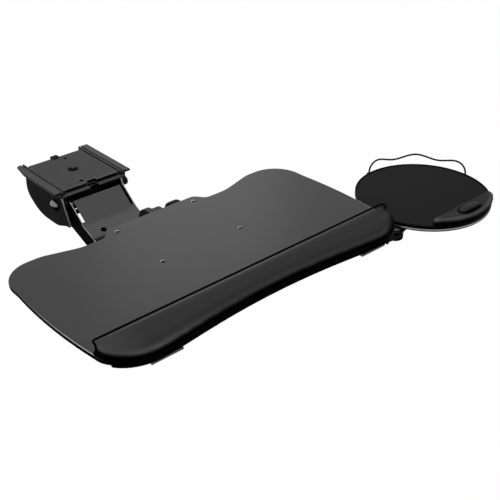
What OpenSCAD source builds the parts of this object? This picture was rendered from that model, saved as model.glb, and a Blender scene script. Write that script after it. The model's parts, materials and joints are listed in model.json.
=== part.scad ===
// Under-desk keyboard tray: a sliding carriage, a swivelling spring arm with a levelling link, a tilting
// board with a padded palm rest, and a round mouse platform on a swing arm.
// Millimetres. The origin is on the swivel axis at the carriage plate's top face;
// +X is the user's right, +Y is the rear, +Z is up, and the user sits at -Y.

/* [Carriage] */
// Width of the carriage plate across its side flanges
plate_w = 102; // [92:1:112]
// Depth of the carriage plate
plate_d = 114; // [108:1:126]
// Sheet thickness of the plate and the base
plate_t = 2.5; // [2:0.25:3]
// Height from the base's underside to the plate's top
carriage_h = 9; // [8:0.5:12]
// How far the base stands out in front of the plate
base_lip = 8; // [4:1:10]
// Width of the notch in the front edges
notch_w = 17; // [10:1:24]
// Depth of the notch in the plate's front edge
notch_d = 6; // [3:1:8]
// Radius of the two access holes
access_r = 4; // [3:0.5:5]
// Access holes' offset across the plate
access_x = 12.5; // [11:0.5:20]
// Access holes' offset along the plate
access_y = 44.6; // [40:0.1:47]
// Width of the rear stop bumper
bumper_w = 12; // [8:1:18]
// How far the bumper stands out behind the plate
bumper_out = 6; // [4:0.5:9]
// How far the bumper stands above the plate
bumper_up = 2.5; // [1:0.5:4]

/* [Glides] */
// Length of each glide
glide_len = 129; // [122:1:150]
// How far the glides' middle lies behind the swivel axis
glide_shift = 3.5; // [0:0.5:8]
// Width of each glide
glide_w = 18.5; // [15:0.5:22]
// Gap between a plate flange and its glide
glide_gap = 2; // [1:0.5:3]
// Depth of the slot that holds the base's edge
glide_slot = 6; // [5:0.5:7]
// Height of a glide's lips above the plate
lip_h = 1; // [0.5:0.25:2]
// Width of each lip
lip_w = 3; // [2:0.25:3.5]
// Width of the groove between the lips
groove_w = 2.5; // [2:0.25:3]
// Depth of that groove
groove_d = 3; // [2:0.25:4]
// How far the outer strip lies below the lips
strip_drop = 0.5; // [0.25:0.25:2]
// Thickness of a glide's outer flange
glide_flange = 4; // [3:0.25:6]
// Length of the taper at the left-hand flange's rear end
taper_len = 32; // [20:1:50]
// Depth of that taper
taper_d = 6; // [3:0.5:8]
// Thickness of a glide under the base
glide_foot = 1.5; // [1:0.25:2]
// Radius of the rivets that hold the glides
rivet_r = 1.5; // [1:0.25:2]
// Distance of the end rivets from the plate's ends
rivet_inset = 10; // [6:0.5:16]

/* [Swivel] */
// Radius of the swivel bolt
bolt_r = 6; // [5:0.5:8]
// Radius of the bolt's domed head
bolt_head_r = 9; // [8:0.5:11]
// Height of the bolt's domed head
bolt_head_h = 3; // [2:0.5:4]
// Thickness of the thrust washer
thrust_t = 2.7; // [2:0.1:4]
// Radius of the thrust washer
thrust_r = 24; // [18:1:30]
// Height of the swivel nut
nut_h = 6; // [5:0.5:7]
// Thickness of the nut's washer
nut_washer_t = 2; // [1.5:0.25:3]

/* [Swivel bracket] */
// Width across the two cheeks
bracket_w = 116; // [112:1:124]
// Sheet thickness of the bracket, the head and the tilt plate
sheet_t = 3; // [2.5:0.25:4]
// How far the cheeks reach behind the swivel axis
cheek_rear = 57; // [54:1:64]
// How far the cheeks' toes reach in front of the swivel axis
cheek_front = 76; // [72:1:82]
// Depth of the cheeks below the plate's top
cheek_depth = 71.5; // [70:0.5:80]
// Depth of the cheeks' toes below the plate's top
toe_depth = 61; // [58:0.5:66]
// How far the bracket's web reaches in front of the swivel axis
web_front = 50; // [49:0.5:52]
// Depth of the apron that hangs from the web's front edge
apron_h = 16; // [10:0.5:18]

/* [Arm] */
// Rear pivot, in front of the swivel axis
pivot_fwd = 34; // [32:0.5:36]
// Rear pivot, below the plate's top
pivot_drop = 33.4; // [32.4:0.1:38]
// Front pivot, in front of the rear pivot
arm_fwd = 130; // [120:1:150]
// Front pivot, below the rear pivot
arm_drop = 52; // [44:1:58]
// Radius of the rear, front and tilt shafts
shaft_r = 5; // [4:0.25:6]
// Thickness of the arm's side plates
arm_t = 2; // [1.5:0.25:3]
// Radius of the arm plates' ends
arm_end_r = 16; // [14:0.5:16.5]
// Height of the arm's hump above the pivot line
hump_h = 28.5; // [24:0.5:29]
// Height of the arm's shoulder above the pivot line
shoulder_h = 13; // [11.4:0.2:14]
// How far the arm's shoulder lies ahead of the rear pivot
shoulder_s = 70; // [66:1:76]
// How far the cover's front end lies ahead of the rear pivot
cover_s = 101; // [96:1:106]
// Width of the open slots between the cover's rear part and the side plates
cover_gap = 5; // [4:0.25:6]
// Distance of the slots' front ends from the shoulder
slot_back = 7; // [6:0.5:12]
// Radius of the round hole in the cover's left half
cover_hole_r = 5; // [4:0.5:6]
// Distance of that hole from the middle
cover_hole_x = 25; // [20:0.5:30]
// Distance of that hole from the cover's front end
cover_hole_s = 13; // [12:0.5:18]
// Thickness of the cover's sheet
cover_t = 2; // [1.5:0.25:2.5]
// Radius of the cross bars
bar_r = 4; // [3:0.25:4.5]

/* [Lock knob] */
// Radius of the arm's lock knob
lock_r = 7.5; // [6.5:0.25:10]
// Length of the lock knob along its axis
lock_w = 21; // [16:0.5:26]

/* [Levelling link] */
// Link pivots, behind the arm pivots
link_back = 14; // [13:0.5:16]
// Link pivots, below the arm pivots
link_drop = 14; // [13:0.5:16]
// Thickness of the link's side plates
link_t = 3; // [2.5:0.25:3.5]
// Radius of the link's ends
link_end_r = 8; // [7:0.25:8.5]
// Radius of the link's pins
link_pin_r = 4; // [3:0.25:4.5]

/* [Lift spring] */
// Diameter of the spring wire
spring_wire = 4; // [3:0.25:4.5]
// Radius of the coil at the middle of the wire
spring_r = 10.5; // [10:0.25:11.5]
// Gap between the coil and the lug at each end
spring_side = 3; // [2:0.25:5]
// Least gap between one turn and the next
coil_gap = 1.35; // [0.5:0.05:2]

/* [Head] */
// Tilt axis, in front of the front pivot
head_fwd = 33; // [28:1:40]
// Tilt axis, above the front pivot
head_rise = 63.4; // [58:0.2:70]
// Radius of the right-hand plate knuckle
knuckle_r = 22; // [17:0.5:22]
// Radius of the right-hand head knuckle
head_knuckle_r = 18; // [13:0.5:18.5]
// Radius of the knuckles on the left
left_knuckle_r = 9.5; // [8:0.25:12]
// Distance of the plate's knuckles from the middle
knuckle_x = 6; // [4:0.5:10]
// Width of each plate knuckle
knuckle_w = 10; // [8:0.5:14]
// Width of each head knuckle
head_knuckle_w = 16; // [10:0.5:18]
// Gap between neighbouring knuckles
knuckle_gap = 2; // [0.5:0.25:3]

/* [Tilt dial] */
// Radius of the dial
dial_r = 18; // [15:0.5:20]
// Width of the dial along its axis
dial_w = 21; // [18:1:28]
// Gap between the head and the dial, filled by a spacer
dial_gap = 16; // [10:0.5:20]

/* [Board] */
// Widest part of the board
board_w = 523; // [480:1:560]
// Thickness of the board
board_t = 6.35; // [5:0.05:8]
// Board's underside above the tilt axis
board_rise = 22.75; // [22:0.05:26]
// Board's rear edge in front of the tilt axis
board_lead = 20.5; // [20:0.5:26]
// Width of the rear tab
tab_w = 160; // [150:1:168]
// Depth of the rear scallops
scallop_d = 17.3; // [12:0.1:20]
// Radius of the rear corners
corner_r = 49; // [40:1:56]
// Distance of each rear wing's crest from the board's widest line
rear_crest_x = 73.5; // [64:0.5:84]
// Radius of the bowed sides
side_r = 760; // [600:10:2000]
// Distance of the widest line from the rear edge
widest_v = 140; // [120:1:160]
// Screw spacing across the board
screw_dx = 140; // [132:1:144]
// Screw spacing along the board
screw_dy = 109; // [100:1:114]
// Distance of the rear screws from the rear edge
screw_v = 14; // [12:0.5:18]
// Radius of the board screws
screw_r = 2.5; // [2:0.1:3]

/* [Palm rest] */
// Distance of the palm rest's rear edge from the board's rear edge
palm_v = 231.6; // [224:0.2:240]
// Depth of the palm rest at its middle
palm_d = 41.5; // [36:0.5:48]
// How far the two lobes stand out in front of the middle
lobe_d = 13; // [6:0.5:18]
// Fullness of the hollow between the lobes
hollow = 1.35; // [1.2:0.05:1.5]
// Distance of each lobe's crest from the board's widest line
lobe_x = 66.5; // [56.5:0.5:86.5]
// Height of the palm rest's rear edge above the board
palm_h = 18.5; // [14:0.5:24]
// Thickness of the palm rest's base
palm_base_t = 2; // [1.5:0.25:3]
// How far the base's lip stands out in front of the board
palm_lip = 6; // [4:0.5:8]
// Width of each clip under the front edge
clip_w = 47; // [36:1:54]
// Distance of each clip's middle from the board's widest line
clip_x = 79; // [73.5:0.5:87.5]
// Depth of each clip
clip_d = 38; // [32:1:42]

/* [Mouse platform] */
// Radius of the platform
tray_r = 108; // [95:1:112]
// Height of the platform's top below the board's top
tray_drop = 20; // [18:0.5:24]
// Thickness of the mouse pad
pad_t = 2; // [1.5:0.25:3]
// Height of the tray's rim
rim_h = 5.4; // [4:0.2:7]
// Height of the tray's raised ring above the pad
ring_up = 1.5; // [0.5:0.25:2.5]
// Width of the raised ring
ring_w = 2.5; // [2:0.25:4]
// Height of the groove between the rim and the ring
neck_h = 1; // [0.5:0.25:2]
// Length of the swing arm between its pivots
swing_len = 106; // [104:1:116]
// Angle of the swing arm from +X
swing_angle = 16.8; // [10:0.1:20]
// Swing pivot, outside the board's widest line
swing_out = 19.5; // [17:0.5:26]
// Swing pivot, in front of the board's rear edge
swing_v = 239.5; // [234:0.5:246]
// Thickness of the swing arm
swing_t = 3.5; // [3:0.25:5]
// Radius of the swing arm's end at the clamp
swing_end_r = 13; // [11:0.5:14]
// Radius of the swing arm's end at the platform
swing_nose_r = 17; // [14:0.5:20]
// Radius of the flange under the platform
flange_r = 15; // [12:0.5:18]
// Thickness of the drop bracket
drop_t = 4; // [3:0.25:5]
// Radius of the clamp knob
knob_r = 13; // [10:0.5:15]
// Height of the clamp knob
knob_h = 7; // [6.5:0.5:16]

/* [Wrist rest] */
// Distance of the wrist rest's inner edge from the platform's middle
wrist_in = 74; // [68:0.5:80]
// Half of the wrist rest's length
wrist_half = 74; // [62:0.5:76]
// Height of the wrist rest above the pad
wrist_h = 14.5; // [10:0.5:18]
// Half length of the gel insert
gel_half = 25; // [18:0.5:28]
// Depth of the gel insert
gel_d = 19; // [15:0.5:19]
// How far the gel insert stands above the wrist rest
gel_up = 3; // [2:0.25:5]

/* [Mouse guard] */
// Diameter of the guard wire
guard_wire = 3; // [2:0.25:4]
// Angle of the guard's middle from +X
guard_angle = 46; // [30:1:60]
// Angle from the guard's middle to each foot
guard_span = 46; // [36:1:52]
// Mean height of the wire above its feet
guard_h = 17; // [12:0.1:24]
// Height of the wave in the wire
guard_wave = 3.6; // [2:0.1:5]

/* [Fits] */
// Gap between flat faces that move past each other
run_gap = 0.3; // [0.2:0.05:0.5]
// Radial clearance of a shaft in its bore
shaft_gap = 0.05; // [0.02:0.01:0.1]
// Radial clearance at the link's open front pivot
open_gap = 0.3; // [0.2:0.05:0.5]

/* [Hidden] */
$fn = 64;
steel = [0.16, 0.16, 0.165];
dark_steel = [0.07, 0.07, 0.075];
bright_steel = [0.55, 0.55, 0.56];
plastic = [0.05, 0.05, 0.055];
laminate = [0.2, 0.2, 0.2];
cushion = [0.11, 0.11, 0.115];
cloth = [0.09, 0.09, 0.09];
nylon = [0.8, 0.8, 0.76];
// Carriage levels and half widths
base_top = -carriage_h + plate_t;
flange_x = plate_w / 2;
glide_x = flange_x + glide_gap;
base_x = glide_x + glide_slot;
base_rear = plate_d / 2 + 3;
base_front = plate_d / 2 + base_lip;
rivet_head_h = 1;
// Swivel stack, downwards from the base
web_top = -carriage_h - thrust_t - run_gap;
web_low = web_top - sheet_t;
nut_washer_top = web_low - run_gap;
nut_top = nut_washer_top - nut_washer_t;
bolt_tail = 2;
// Half widths of the plates on the pivots, from the cheeks inwards
cheek_out = bracket_w / 2;
cheek_in = cheek_out - sheet_t;
pivot_washer_t = 3.7;
arm_out = cheek_in - pivot_washer_t - run_gap;
arm_in = arm_out - arm_t;
front_washer_t = 2.7;
head_out = arm_in - front_washer_t - run_gap;
head_in = head_out - sheet_t;
cover_out = arm_in - cover_gap;
link_side_gap = 5;
link_out = cover_out - link_side_gap;
link_in = link_out - link_t;
lug_out = link_in - sheet_t;
lug_in = lug_out - sheet_t;
// Length and turns of the spring's coil between the lugs
spring_len = 2 * (lug_in - spring_side) - spring_wire;
spring_turns = floor(spring_len / (spring_wire + coil_gap));
clip_t = 1.5;
lock_cap = 3;
// Pivot points as [y, z]
rear_pivot = [-pivot_fwd, -pivot_drop];
front_pivot = rear_pivot + [-arm_fwd, -arm_drop];
link_offset = [link_back, -link_drop];
link_rear = rear_pivot + link_offset;
link_front = front_pivot + link_offset;
tilt_axis = front_pivot + [-head_fwd, head_rise];
arm_slope = atan2(arm_drop, arm_fwd);
arm_len = norm([arm_fwd, arm_drop]);
// The arm's top slopes from its hump to the shoulder; the cover's rear end and slots lie along that slope
hump_s = 22;
cover_rear = 26;
shoulder_r = 30;
slot_end = shoulder_s - slot_back;
// Cross bars on the pivot line's scale: two are let into the cover, and the spring's leg bears on the third
bar_seat = 0.5;
bar_below = cover_t + bar_r - bar_seat;
rear_bar = 40;
hump_bar = rear_bar - 2 * bar_r - 1;
front_bar = shoulder_s + 8;
spring_bar = [55, -(spring_r - spring_wire / 2 - run_gap - bar_r)];
bars = [[hump_bar, slope_at(hump_bar) - bar_below], [rear_bar, slope_at(rear_bar) - bar_below],
    [front_bar, shoulder_h - bar_below], spring_bar];
// Distance of the link's web from its rear and front pivots
link_web_rear = 53;
link_web_front = 28;
// Board levels, and the board's rear edge on Y
board_y = tilt_axis.x - board_lead;
board_low = tilt_axis.y + board_rise;
board_top = board_low + board_t;
plate_low = board_low - sheet_t;
screw_head_h = 2.5;
screw_tip = 1.6;
// Tilt hinge along X: the plate's knuckles lie between the head's, with the dial on the right-hand end
knuckle_end = knuckle_x + knuckle_w;
head_knuckle_x = knuckle_end + knuckle_gap;
head_knuckle_end = head_knuckle_x + head_knuckle_w;
dial_x = head_knuckle_end + dial_gap + run_gap;
dial_cap = 4;
// Palm rest levels and outline
palm_front_v = palm_v + palm_d;
palm_end_v = palm_v + 6;
palm_end_x = side_x(palm_end_v);
lobe_at = board_w / 2 - lobe_x;
clip_at = board_w / 2 - clip_x;
palm_low = board_top + palm_base_t;
palm_top = board_top + palm_h;
lip_low = board_low - 1.2;
clip_top = lip_low - 2;
clip_plate_t = 4.5;
clip_low = clip_top - clip_plate_t;
clip_screw_r = 1.8;
clip_screw_up = 3.2;
// Mouse platform levels, downwards from the pad, and its pivots as [x, y]
pad_top = board_top - tray_drop;
pad_low = pad_top - pad_t;
ring_top = pad_top + ring_up;
ring_low = pad_low - 0.6;
rim_top = ring_low - neck_h;
tray_low = rim_top - rim_h;
spindle_flange_t = 2;
spindle_washer_t = 1.2;
swing_top = tray_low - spindle_flange_t - spindle_washer_t - run_gap;
swing_low = swing_top - swing_t;
drop_top = swing_low - run_gap;
drop_low = drop_top - drop_t;
knob_top = drop_low - run_gap;
swing_pivot = [board_w / 2 + swing_out, board_y - swing_v];
spindle = swing_pivot + swing_len * [cos(swing_angle), sin(swing_angle)];
spindle_r = bolt_r;
swing_bolt_r = shaft_r;
swing_bolt_head_h = spindle_flange_t + spindle_washer_t - 2 * run_gap;
drop_end_r = 13;
drop_wall_x = swing_pivot.x - 35;
drop_flange = 34;
drop_w = 30;
ring_in = tray_r - ring_w;
pad_r = ring_in - run_gap;
neck_r = tray_r - 1.7;
socket_r = 4;
guard_r = tray_r + socket_r - 1;
guard_foot = rim_top + 0.5;
wrist_out = tray_r + 2;
gel_floor = pad_top + wrist_h / 2;
gel_y = -(wrist_in + wrist_out) / 2 + 2;

// Unit vector
function unit(v) = v / norm(v);
// Points of a polygon whose corners [x, y, radius] are rounded by tangent arcs
function rounded(corners, steps = 12) =
    let (n = len(corners))
    [for (i = [0 : n - 1])
        each corner_arc(corners[(i + n - 1) % n], corners[i], corners[(i + 1) % n], steps)];
function corner_arc(before, corner, after, steps) =
    let (p = [corner.x, corner.y],
         u = unit([before.x, before.y] - p),
         v = unit([after.x, after.y] - p),
         half = acos(u * v) / 2,
         centre = p + unit(u + v) * corner[2] / sin(half),
         from = p + u * corner[2] / tan(half) - centre,
         turn = (cross(u, v) > 0 ? -1 : 1) * (180 - 2 * half),
         start = atan2(from.y, from.x))
    corner[2] == 0 ? [p] :
    [for (k = [0 : steps])
        centre + corner[2] * [cos(start + turn * k / steps), sin(start + turn * k / steps)]];
// The same points mirrored in the line x = 0, in reverse order
function mirrored(pts) = [for (i = [len(pts) - 1 : -1 : 0]) [-pts[i].x, pts[i].y]];
// Point of the arm at s along the pivot line from the rear pivot and t above it, as [y, z]
function on_arm(s, t) =
    rear_pivot + [-s * cos(arm_slope) - t * sin(arm_slope), -s * sin(arm_slope) + t * cos(arm_slope)];
function arm_outline(corners) =
    rounded([for (c = corners) let (p = on_arm(c.x, c.y)) [p.x, p.y, c[2]]]);
// Height of the arm's sloping top at s
function slope_at(s) = hump_h - (hump_h - shoulder_h) * (s - hump_s) / (shoulder_s - hump_s);

// Extrudes a [y, z] outline from x0 to x1
module across(x0, x1) {
    translate([x0, 0, 0]) rotate([90, 0, 90]) linear_extrude(x1 - x0) children();
}
// Round bar along X through the point p = [y, z]
module rod(p, r, x0, x1) {
    translate([x0, p.x, p.y]) rotate([0, 90, 0]) cylinder(r = r, h = x1 - x0);
}
// Round bar along Z through the point p = [x, y]
module post(p, r, z0, z1) {
    translate([p.x, p.y, z0]) cylinder(r = r, h = z1 - z0);
}
// Outline of two circles and the band that touches both
function strap_points(p, r, q, s, steps = 36) =
    let (lean = acos((r - s) / norm(q - p)), base = atan2(q.y - p.y, q.x - p.x))
    concat(
        [for (k = [0 : steps]) let (a = base + lean + (360 - 2 * lean) * k / steps) p + r * [cos(a), sin(a)]],
        [for (k = [0 : steps]) let (a = base - lean + 2 * lean * k / steps) q + s * [cos(a), sin(a)]]);
module strap(p, r, q, s) polygon(strap_points(p, r, q, s));
// The children and their mirror image in the plane x = 0
module both_sides() {
    children();
    mirror([1, 0, 0]) children();
}
// Tube of n sides along points, with a direction beside the path given for each point
module tube(pts, beside, r, sides) {
    n = len(pts);
    function along(i) = unit(pts[min(i + 1, n - 1)] - pts[max(i - 1, 0)]);
    rings = [for (i = [0 : n - 1])
        let (a = unit(cross(along(i), beside[i])), b = cross(along(i), a))
        for (k = [0 : sides - 1]) pts[i] + r * (cos(360 * k / sides) * a + sin(360 * k / sides) * b)];
    walls = [for (i = [0 : n - 2], k = [0 : sides - 1])
        let (p = i * sides + k, q = i * sides + (k + 1) % sides)
        each [[p, p + sides, q + sides], [p, q + sides, q]]];
    first = [for (k = [1 : sides - 2]) [0, k, k + 1]];
    last = let (o = (n - 1) * sides) [for (k = [1 : sides - 2]) [o, o + k + 1, o + k]];
    polyhedron(rings, concat(walls, first, last));
}
// Cushion along X: crowned sections between a rear and a front line, flat below, rounded at both ends.
// Each station is [x, rear y, front y, height]; the height falls by the share fall from rear to front.
// The section is a superellipse: the higher its power, the sharper that edge.
module cushion_loft(stations, z0, fall, steps = 16, rear_power = 12, front_power = 4) {
    function power(v, a) = sign(v) * pow(abs(v), 2 / (a < 90 ? rear_power : front_power));
    m = steps + 1;
    n = len(stations);
    pts = [for (s = stations, k = [0 : steps])
        let (a = 180 * k / steps, p = 0.5 - 0.5 * power(cos(a), a))
        [s.x, s.y + (s.z - s.y) * p, z0 + s[3] * power(sin(a), a) * (1 - fall * p)]];
    walls = [for (i = [0 : n - 2], k = [0 : steps])
        let (p = i * m + k, q = i * m + (k + 1) % m)
        each [[p, q + m, p + m], [p, q, q + m]]];
    first = [for (k = [1 : steps - 1]) [0, k + 1, k]];
    last = let (o = (n - 1) * m) [for (k = [1 : steps - 1]) [o, o + k, o + k + 1]];
    polyhedron(pts, concat(walls, first, last));
}
// Share of the full height at the share w of the half length, for an end rounded over the share e
function end_round(w, e) = sqrt(max(0.03, 1 - pow(max(0, (abs(w) - 1 + e) / e), 2)));

// Carriage: a folded plate on a base, between two glides that run in a desk track
module access_holes() {
    for (side = [-1, 1]) post(side * [access_x, access_y], access_r, -2 * carriage_h, carriage_h);
}
module front_notch() {
    depth = notch_d + base_lip;
    translate([-notch_w / 2, -base_front - 1, -2 * carriage_h]) cube([notch_w, depth + 1, 3 * carriage_h]);
}
module carriage_plate() color(steel) difference() {
    translate([-flange_x, -plate_d / 2, base_top]) cube([plate_w, plate_d, -base_top]);
    translate([-flange_x + plate_t, -plate_d / 2 - 1, base_top - 1])
        cube([plate_w - 2 * plate_t, plate_d + 2, 1 - base_top - plate_t]);
    post([0, 0], bolt_r, -2 * carriage_h, 1);
    access_holes();
    front_notch();
}
module carriage_base() color(steel) difference() {
    translate([-base_x, -base_front, -carriage_h]) cube([2 * base_x, base_front + base_rear, plate_t]);
    post([0, 0], bolt_r, -2 * carriage_h, 1);
    access_holes();
    front_notch();
    glide_rivet_shanks();
}
module glide_rivet_shanks() {
    for (side = [-1, 1], row = [-1, 0, 1])
        post([side * (glide_x + glide_slot / 2), row * (plate_d / 2 - rivet_inset)],
             rivet_r, -carriage_h - glide_foot, base_top + 1);
}
module glide() difference() {
    lip2 = glide_x + lip_w + groove_w;
    strip = lip2 + lip_w;
    outer = glide_x + glide_w;
    translate([0, glide_shift + glide_len / 2, 0]) rotate([90, 0, 0]) linear_extrude(glide_len) polygon([
        [glide_x, -carriage_h - glide_foot], [strip, -carriage_h - glide_foot],
        [strip, lip_h - strip_drop - glide_flange], [outer, lip_h - strip_drop - glide_flange],
        [outer, lip_h - strip_drop - 1],
        [outer - 1, lip_h - strip_drop], [strip, lip_h - strip_drop], [strip, lip_h], [lip2, lip_h],
        [lip2, lip_h - groove_d], [glide_x + lip_w, lip_h - groove_d], [glide_x + lip_w, lip_h],
        [glide_x, lip_h]]);
    translate([glide_x - 1, -base_front, -carriage_h])
        cube([glide_slot + 1, base_front + base_rear, plate_t]);
    glide_rivet_shanks();
}
module glide_right() color(plastic) glide();
// The left-hand glide's flange is cut away towards its rear end
module glide_left() color(plastic) mirror([1, 0, 0]) difference() {
    glide();
    rear = glide_shift + glide_len / 2;
    outer = glide_x + glide_w;
    translate([0, 0, lip_h - strip_drop - glide_flange - 1]) linear_extrude(glide_flange + lip_h + 2)
        polygon([[outer + 1, rear - taper_len], [outer + 1, rear + 1], [outer - taper_d, rear + 1],
                 [outer - taper_d, rear], [outer, rear - taper_len]]);
}
module glide_rivets() color(bright_steel) {
    glide_rivet_shanks();
    for (side = [-1, 1], row = [-1, 0, 1])
        post([side * (glide_x + glide_slot / 2), row * (plate_d / 2 - rivet_inset)], 2 * rivet_r,
             -carriage_h - glide_foot - rivet_head_h, -carriage_h - glide_foot);
}
module stop_bumper() color(plastic) difference() {
    grip = 5;
    translate([-bumper_w / 2, 0, 0]) across(0, bumper_w) polygon(rounded([
        [plate_d / 2 - grip, base_top + 1, 0], [plate_d / 2 + bumper_out, base_top + 1, 2],
        [plate_d / 2 + bumper_out, bumper_up, 2], [plate_d / 2 - grip, bumper_up, 1.5]]));
    translate([-bumper_w, 0, -plate_t]) cube([2 * bumper_w, plate_d / 2, plate_t]);
}
module swivel_bolt() color(steel) {
    dome_r = (pow(bolt_head_r, 2) + pow(bolt_head_h, 2)) / (2 * bolt_head_h);
    intersection() {
        translate([0, 0, bolt_head_h - dome_r]) sphere(dome_r);
        cylinder(r = bolt_head_r, h = bolt_head_h);
    }
    post([0, 0], bolt_r, nut_top - nut_h - bolt_tail, 0);
}
module ring_z(p, r_in, r_out, z0, z1) {
    difference() {
        post(p, r_out, z0, z1);
        post(p, r_in, z0 - 1, z1 + 1);
    }
}
module thrust_washer() color(nylon) ring_z([0, 0], bolt_r, thrust_r, -carriage_h - thrust_t, -carriage_h);
module nut_washer() color(bright_steel) ring_z([0, 0], bolt_r, 2 * bolt_r, nut_top, nut_washer_top);
module swivel_nut() color(bright_steel) difference() {
    translate([0, 0, nut_top - nut_h]) cylinder(r = 1.8 * bolt_r, h = nut_h, $fn = 6);
    post([0, 0], bolt_r, nut_top - nut_h - 1, nut_top + 1);
}

// Swivel bracket: a web under the carriage and two deep cheeks that carry the rear pivot
module cheek_outline() {
    heel = 2.5;
    polygon(rounded([
        [cheek_rear, web_top, 0], [cheek_rear + heel, -0.63 * cheek_depth, 26],
        [0.38 * cheek_rear, -cheek_depth, 70], [-0.45 * cheek_front, -cheek_depth, 50],
        [-0.82 * cheek_front, -toe_depth, 15], [-cheek_front, -toe_depth, 5],
        [-cheek_front + 22, web_top, 0]]));
}
module lug_outline() {
    polygon(rounded([
        [link_rear.x + link_pin_r + 10, web_low + 1, 0], [link_rear.x + link_pin_r + 5, link_rear.y, 4],
        [link_rear.x + 5, link_rear.y - link_pin_r - 5, 4],
        [link_rear.x - 4, link_rear.y - link_pin_r - 5, 4],
        [rear_pivot.x + shaft_r + 2, rear_pivot.y - 4, 3], [rear_pivot.x + shaft_r + 2, web_low + 1, 0]]));
}
module swivel_bracket() color(dark_steel) difference() {
    union() {
        translate([-cheek_out, -web_front, web_low]) cube([bracket_w, web_front + cheek_rear - 1, sheet_t]);
        both_sides() {
            across(cheek_in, cheek_out) cheek_outline();
            across(lug_in, lug_out) lug_outline();
        }
        translate([-arm_in + 2, -web_front, web_low - apron_h]) cube([2 * arm_in - 4, sheet_t, apron_h + 1]);
    }
    post([0, 0], bolt_r + shaft_gap, web_low - 1, web_top + 1);
    rod(rear_pivot, shaft_r, -bracket_w, bracket_w);
    rod(link_rear, link_pin_r, -link_out, link_out);
}
cap_h = 8;
cap_r = shaft_r + 5;
module rear_shaft() color(bright_steel)
    rod(rear_pivot, shaft_r, -cheek_out - cap_h / 2, cheek_out + lock_w - 2 * lock_cap);
module shaft_cap() color(bright_steel) mirror([1, 0, 0]) translate([cheek_out, rear_pivot.x, rear_pivot.y])
    rotate([0, 90, 0]) rotate_extrude() polygon(concat(
        [[0, cap_h / 2], [shaft_r, cap_h / 2], [shaft_r, 0], [cap_r, 0]],
        [for (a = [0 : 10 : 90]) [cap_r * cos(a), 1 + (cap_h - 1) * sin(a)]]));
module spring_sleeve() color(nylon) difference() {
    rod(rear_pivot, shaft_r + 1.5, -lug_in + run_gap, lug_in - run_gap);
    rod(rear_pivot, shaft_r, -lug_in, lug_in);
}
// Lift spring: a leg down from the web, the coil, and a leg forward under the arm's spring bar
spring_rings = 8;
spring_end = 360 * spring_turns + 90 - arm_slope;
spring_pitch = 360 * spring_len / spring_end;
function spring_at(a) = [
    -spring_len / 2 + spring_pitch * a / 360,
    rear_pivot.x + spring_r * cos(a), rear_pivot.y - spring_r * sin(a)];
spring_foot = [for (z = [web_low - run_gap, web_low - run_gap - spring_wire])
    [-spring_len / 2, rear_pivot.x + spring_r, z]];
spring_leg = [for (s = [spring_wire, spring_bar.x, spring_bar.x + 2 * spring_wire])
    let (p = on_arm(s, -spring_r)) [spring_len / 2, p.x, p.y]];
spring_coil = [for (a = [0 : 360 / spring_rings : spring_end]) spring_at(a)];
spring_path = concat(spring_foot, spring_coil, spring_leg);
spring_least = min([
    for (i = [0 : len(spring_coil) - spring_rings], j = [i + spring_rings - 2 : len(spring_coil) - 1])
        norm(spring_coil[i] - spring_coil[j])]) - spring_wire;
echo(lift_spring_least_gap = spring_least);
module lift_spring() color(bright_steel)
    tube(spring_path, [for (p = spring_path) [1, 0, 0]], spring_wire / 2, 6);
module pivot_washers() color(nylon) both_sides() difference() {
    rod(rear_pivot, 2.2 * shaft_r, arm_out + run_gap, cheek_in);
    rod(rear_pivot, shaft_r, 0, bracket_w);
}
module rear_link_pin() color(bright_steel) {
    rod(link_rear, link_pin_r, -link_out - clip_t - run_gap, link_out + clip_t + run_gap);
    both_sides() difference() {
        rod(link_rear, link_pin_r + 2, link_out + run_gap, link_out + run_gap + clip_t);
        rod(link_rear, link_pin_r / 2, 0, bracket_w);
    }
}

// Arm: two tapering side plates, a bent cover that rests on them, and cross bars
module arm_side() difference() {
    across(arm_in, arm_out) polygon(arm_side_points());
    rod(rear_pivot, shaft_r + shaft_gap, 0, bracket_w);
    rod(front_pivot, shaft_r + shaft_gap, 0, bracket_w);
    bar_rods(bar_r);
}
// Top of a side plate from rear to front: the hump, the slope beside the slot, then the seat of the cover
function arm_top_corners() =
    let (seat = shoulder_h - cover_t, nose = arm_end_r - 0.4)
    [[hump_s - 2 + 2 * arm_end_r / hump_h, arm_end_r, 0], [hump_s, hump_h, 5],
        [slot_end, slope_at(slot_end), 0], [slot_end, slope_at(slot_end) - cover_t, 0],
        [shoulder_s, seat, shoulder_r], [cover_s + 1, seat, 3],
        [cover_s + 1 + (arm_len - cover_s - 7) * (nose - seat) / (arm_end_r + 1 - seat), nose, 0]];
// Outline of a side plate: its rear end, its top and its front end
function arm_side_points() =
    let (ends = strap_points(rear_pivot, arm_end_r, front_pivot, arm_end_r - 0.5), half = len(ends) / 2)
    rounded(concat(
        [for (i = [0 : half - 1]) [ends[i].x, ends[i].y, 0]],
        [for (c = arm_top_corners()) let (p = on_arm(c.x, c.y)) [p.x, p.y, c[2]]],
        [for (i = [half : len(ends) - 1]) [ends[i].x, ends[i].y, 0]]));
module bar_rods(r) {
    for (b = bars) rod(on_arm(b.x, b.y), r, -arm_out, arm_out);
}
module arm_plate_right() color(dark_steel) arm_side();
module arm_plate_left() color(dark_steel) mirror([1, 0, 0]) arm_side();
module cover_profile() {
    under = shoulder_h - cover_t;
    front_low = 2;
    polygon(arm_outline([
        [cover_rear, slope_at(cover_rear), 0], [shoulder_s, shoulder_h, shoulder_r], [cover_s, shoulder_h, 6],
        [cover_s, front_low, 0], [cover_s - cover_t, front_low, 0], [cover_s - cover_t, under, 4],
        [shoulder_s, under, shoulder_r], [cover_rear, slope_at(cover_rear) - cover_t, 0]]));
}
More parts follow.
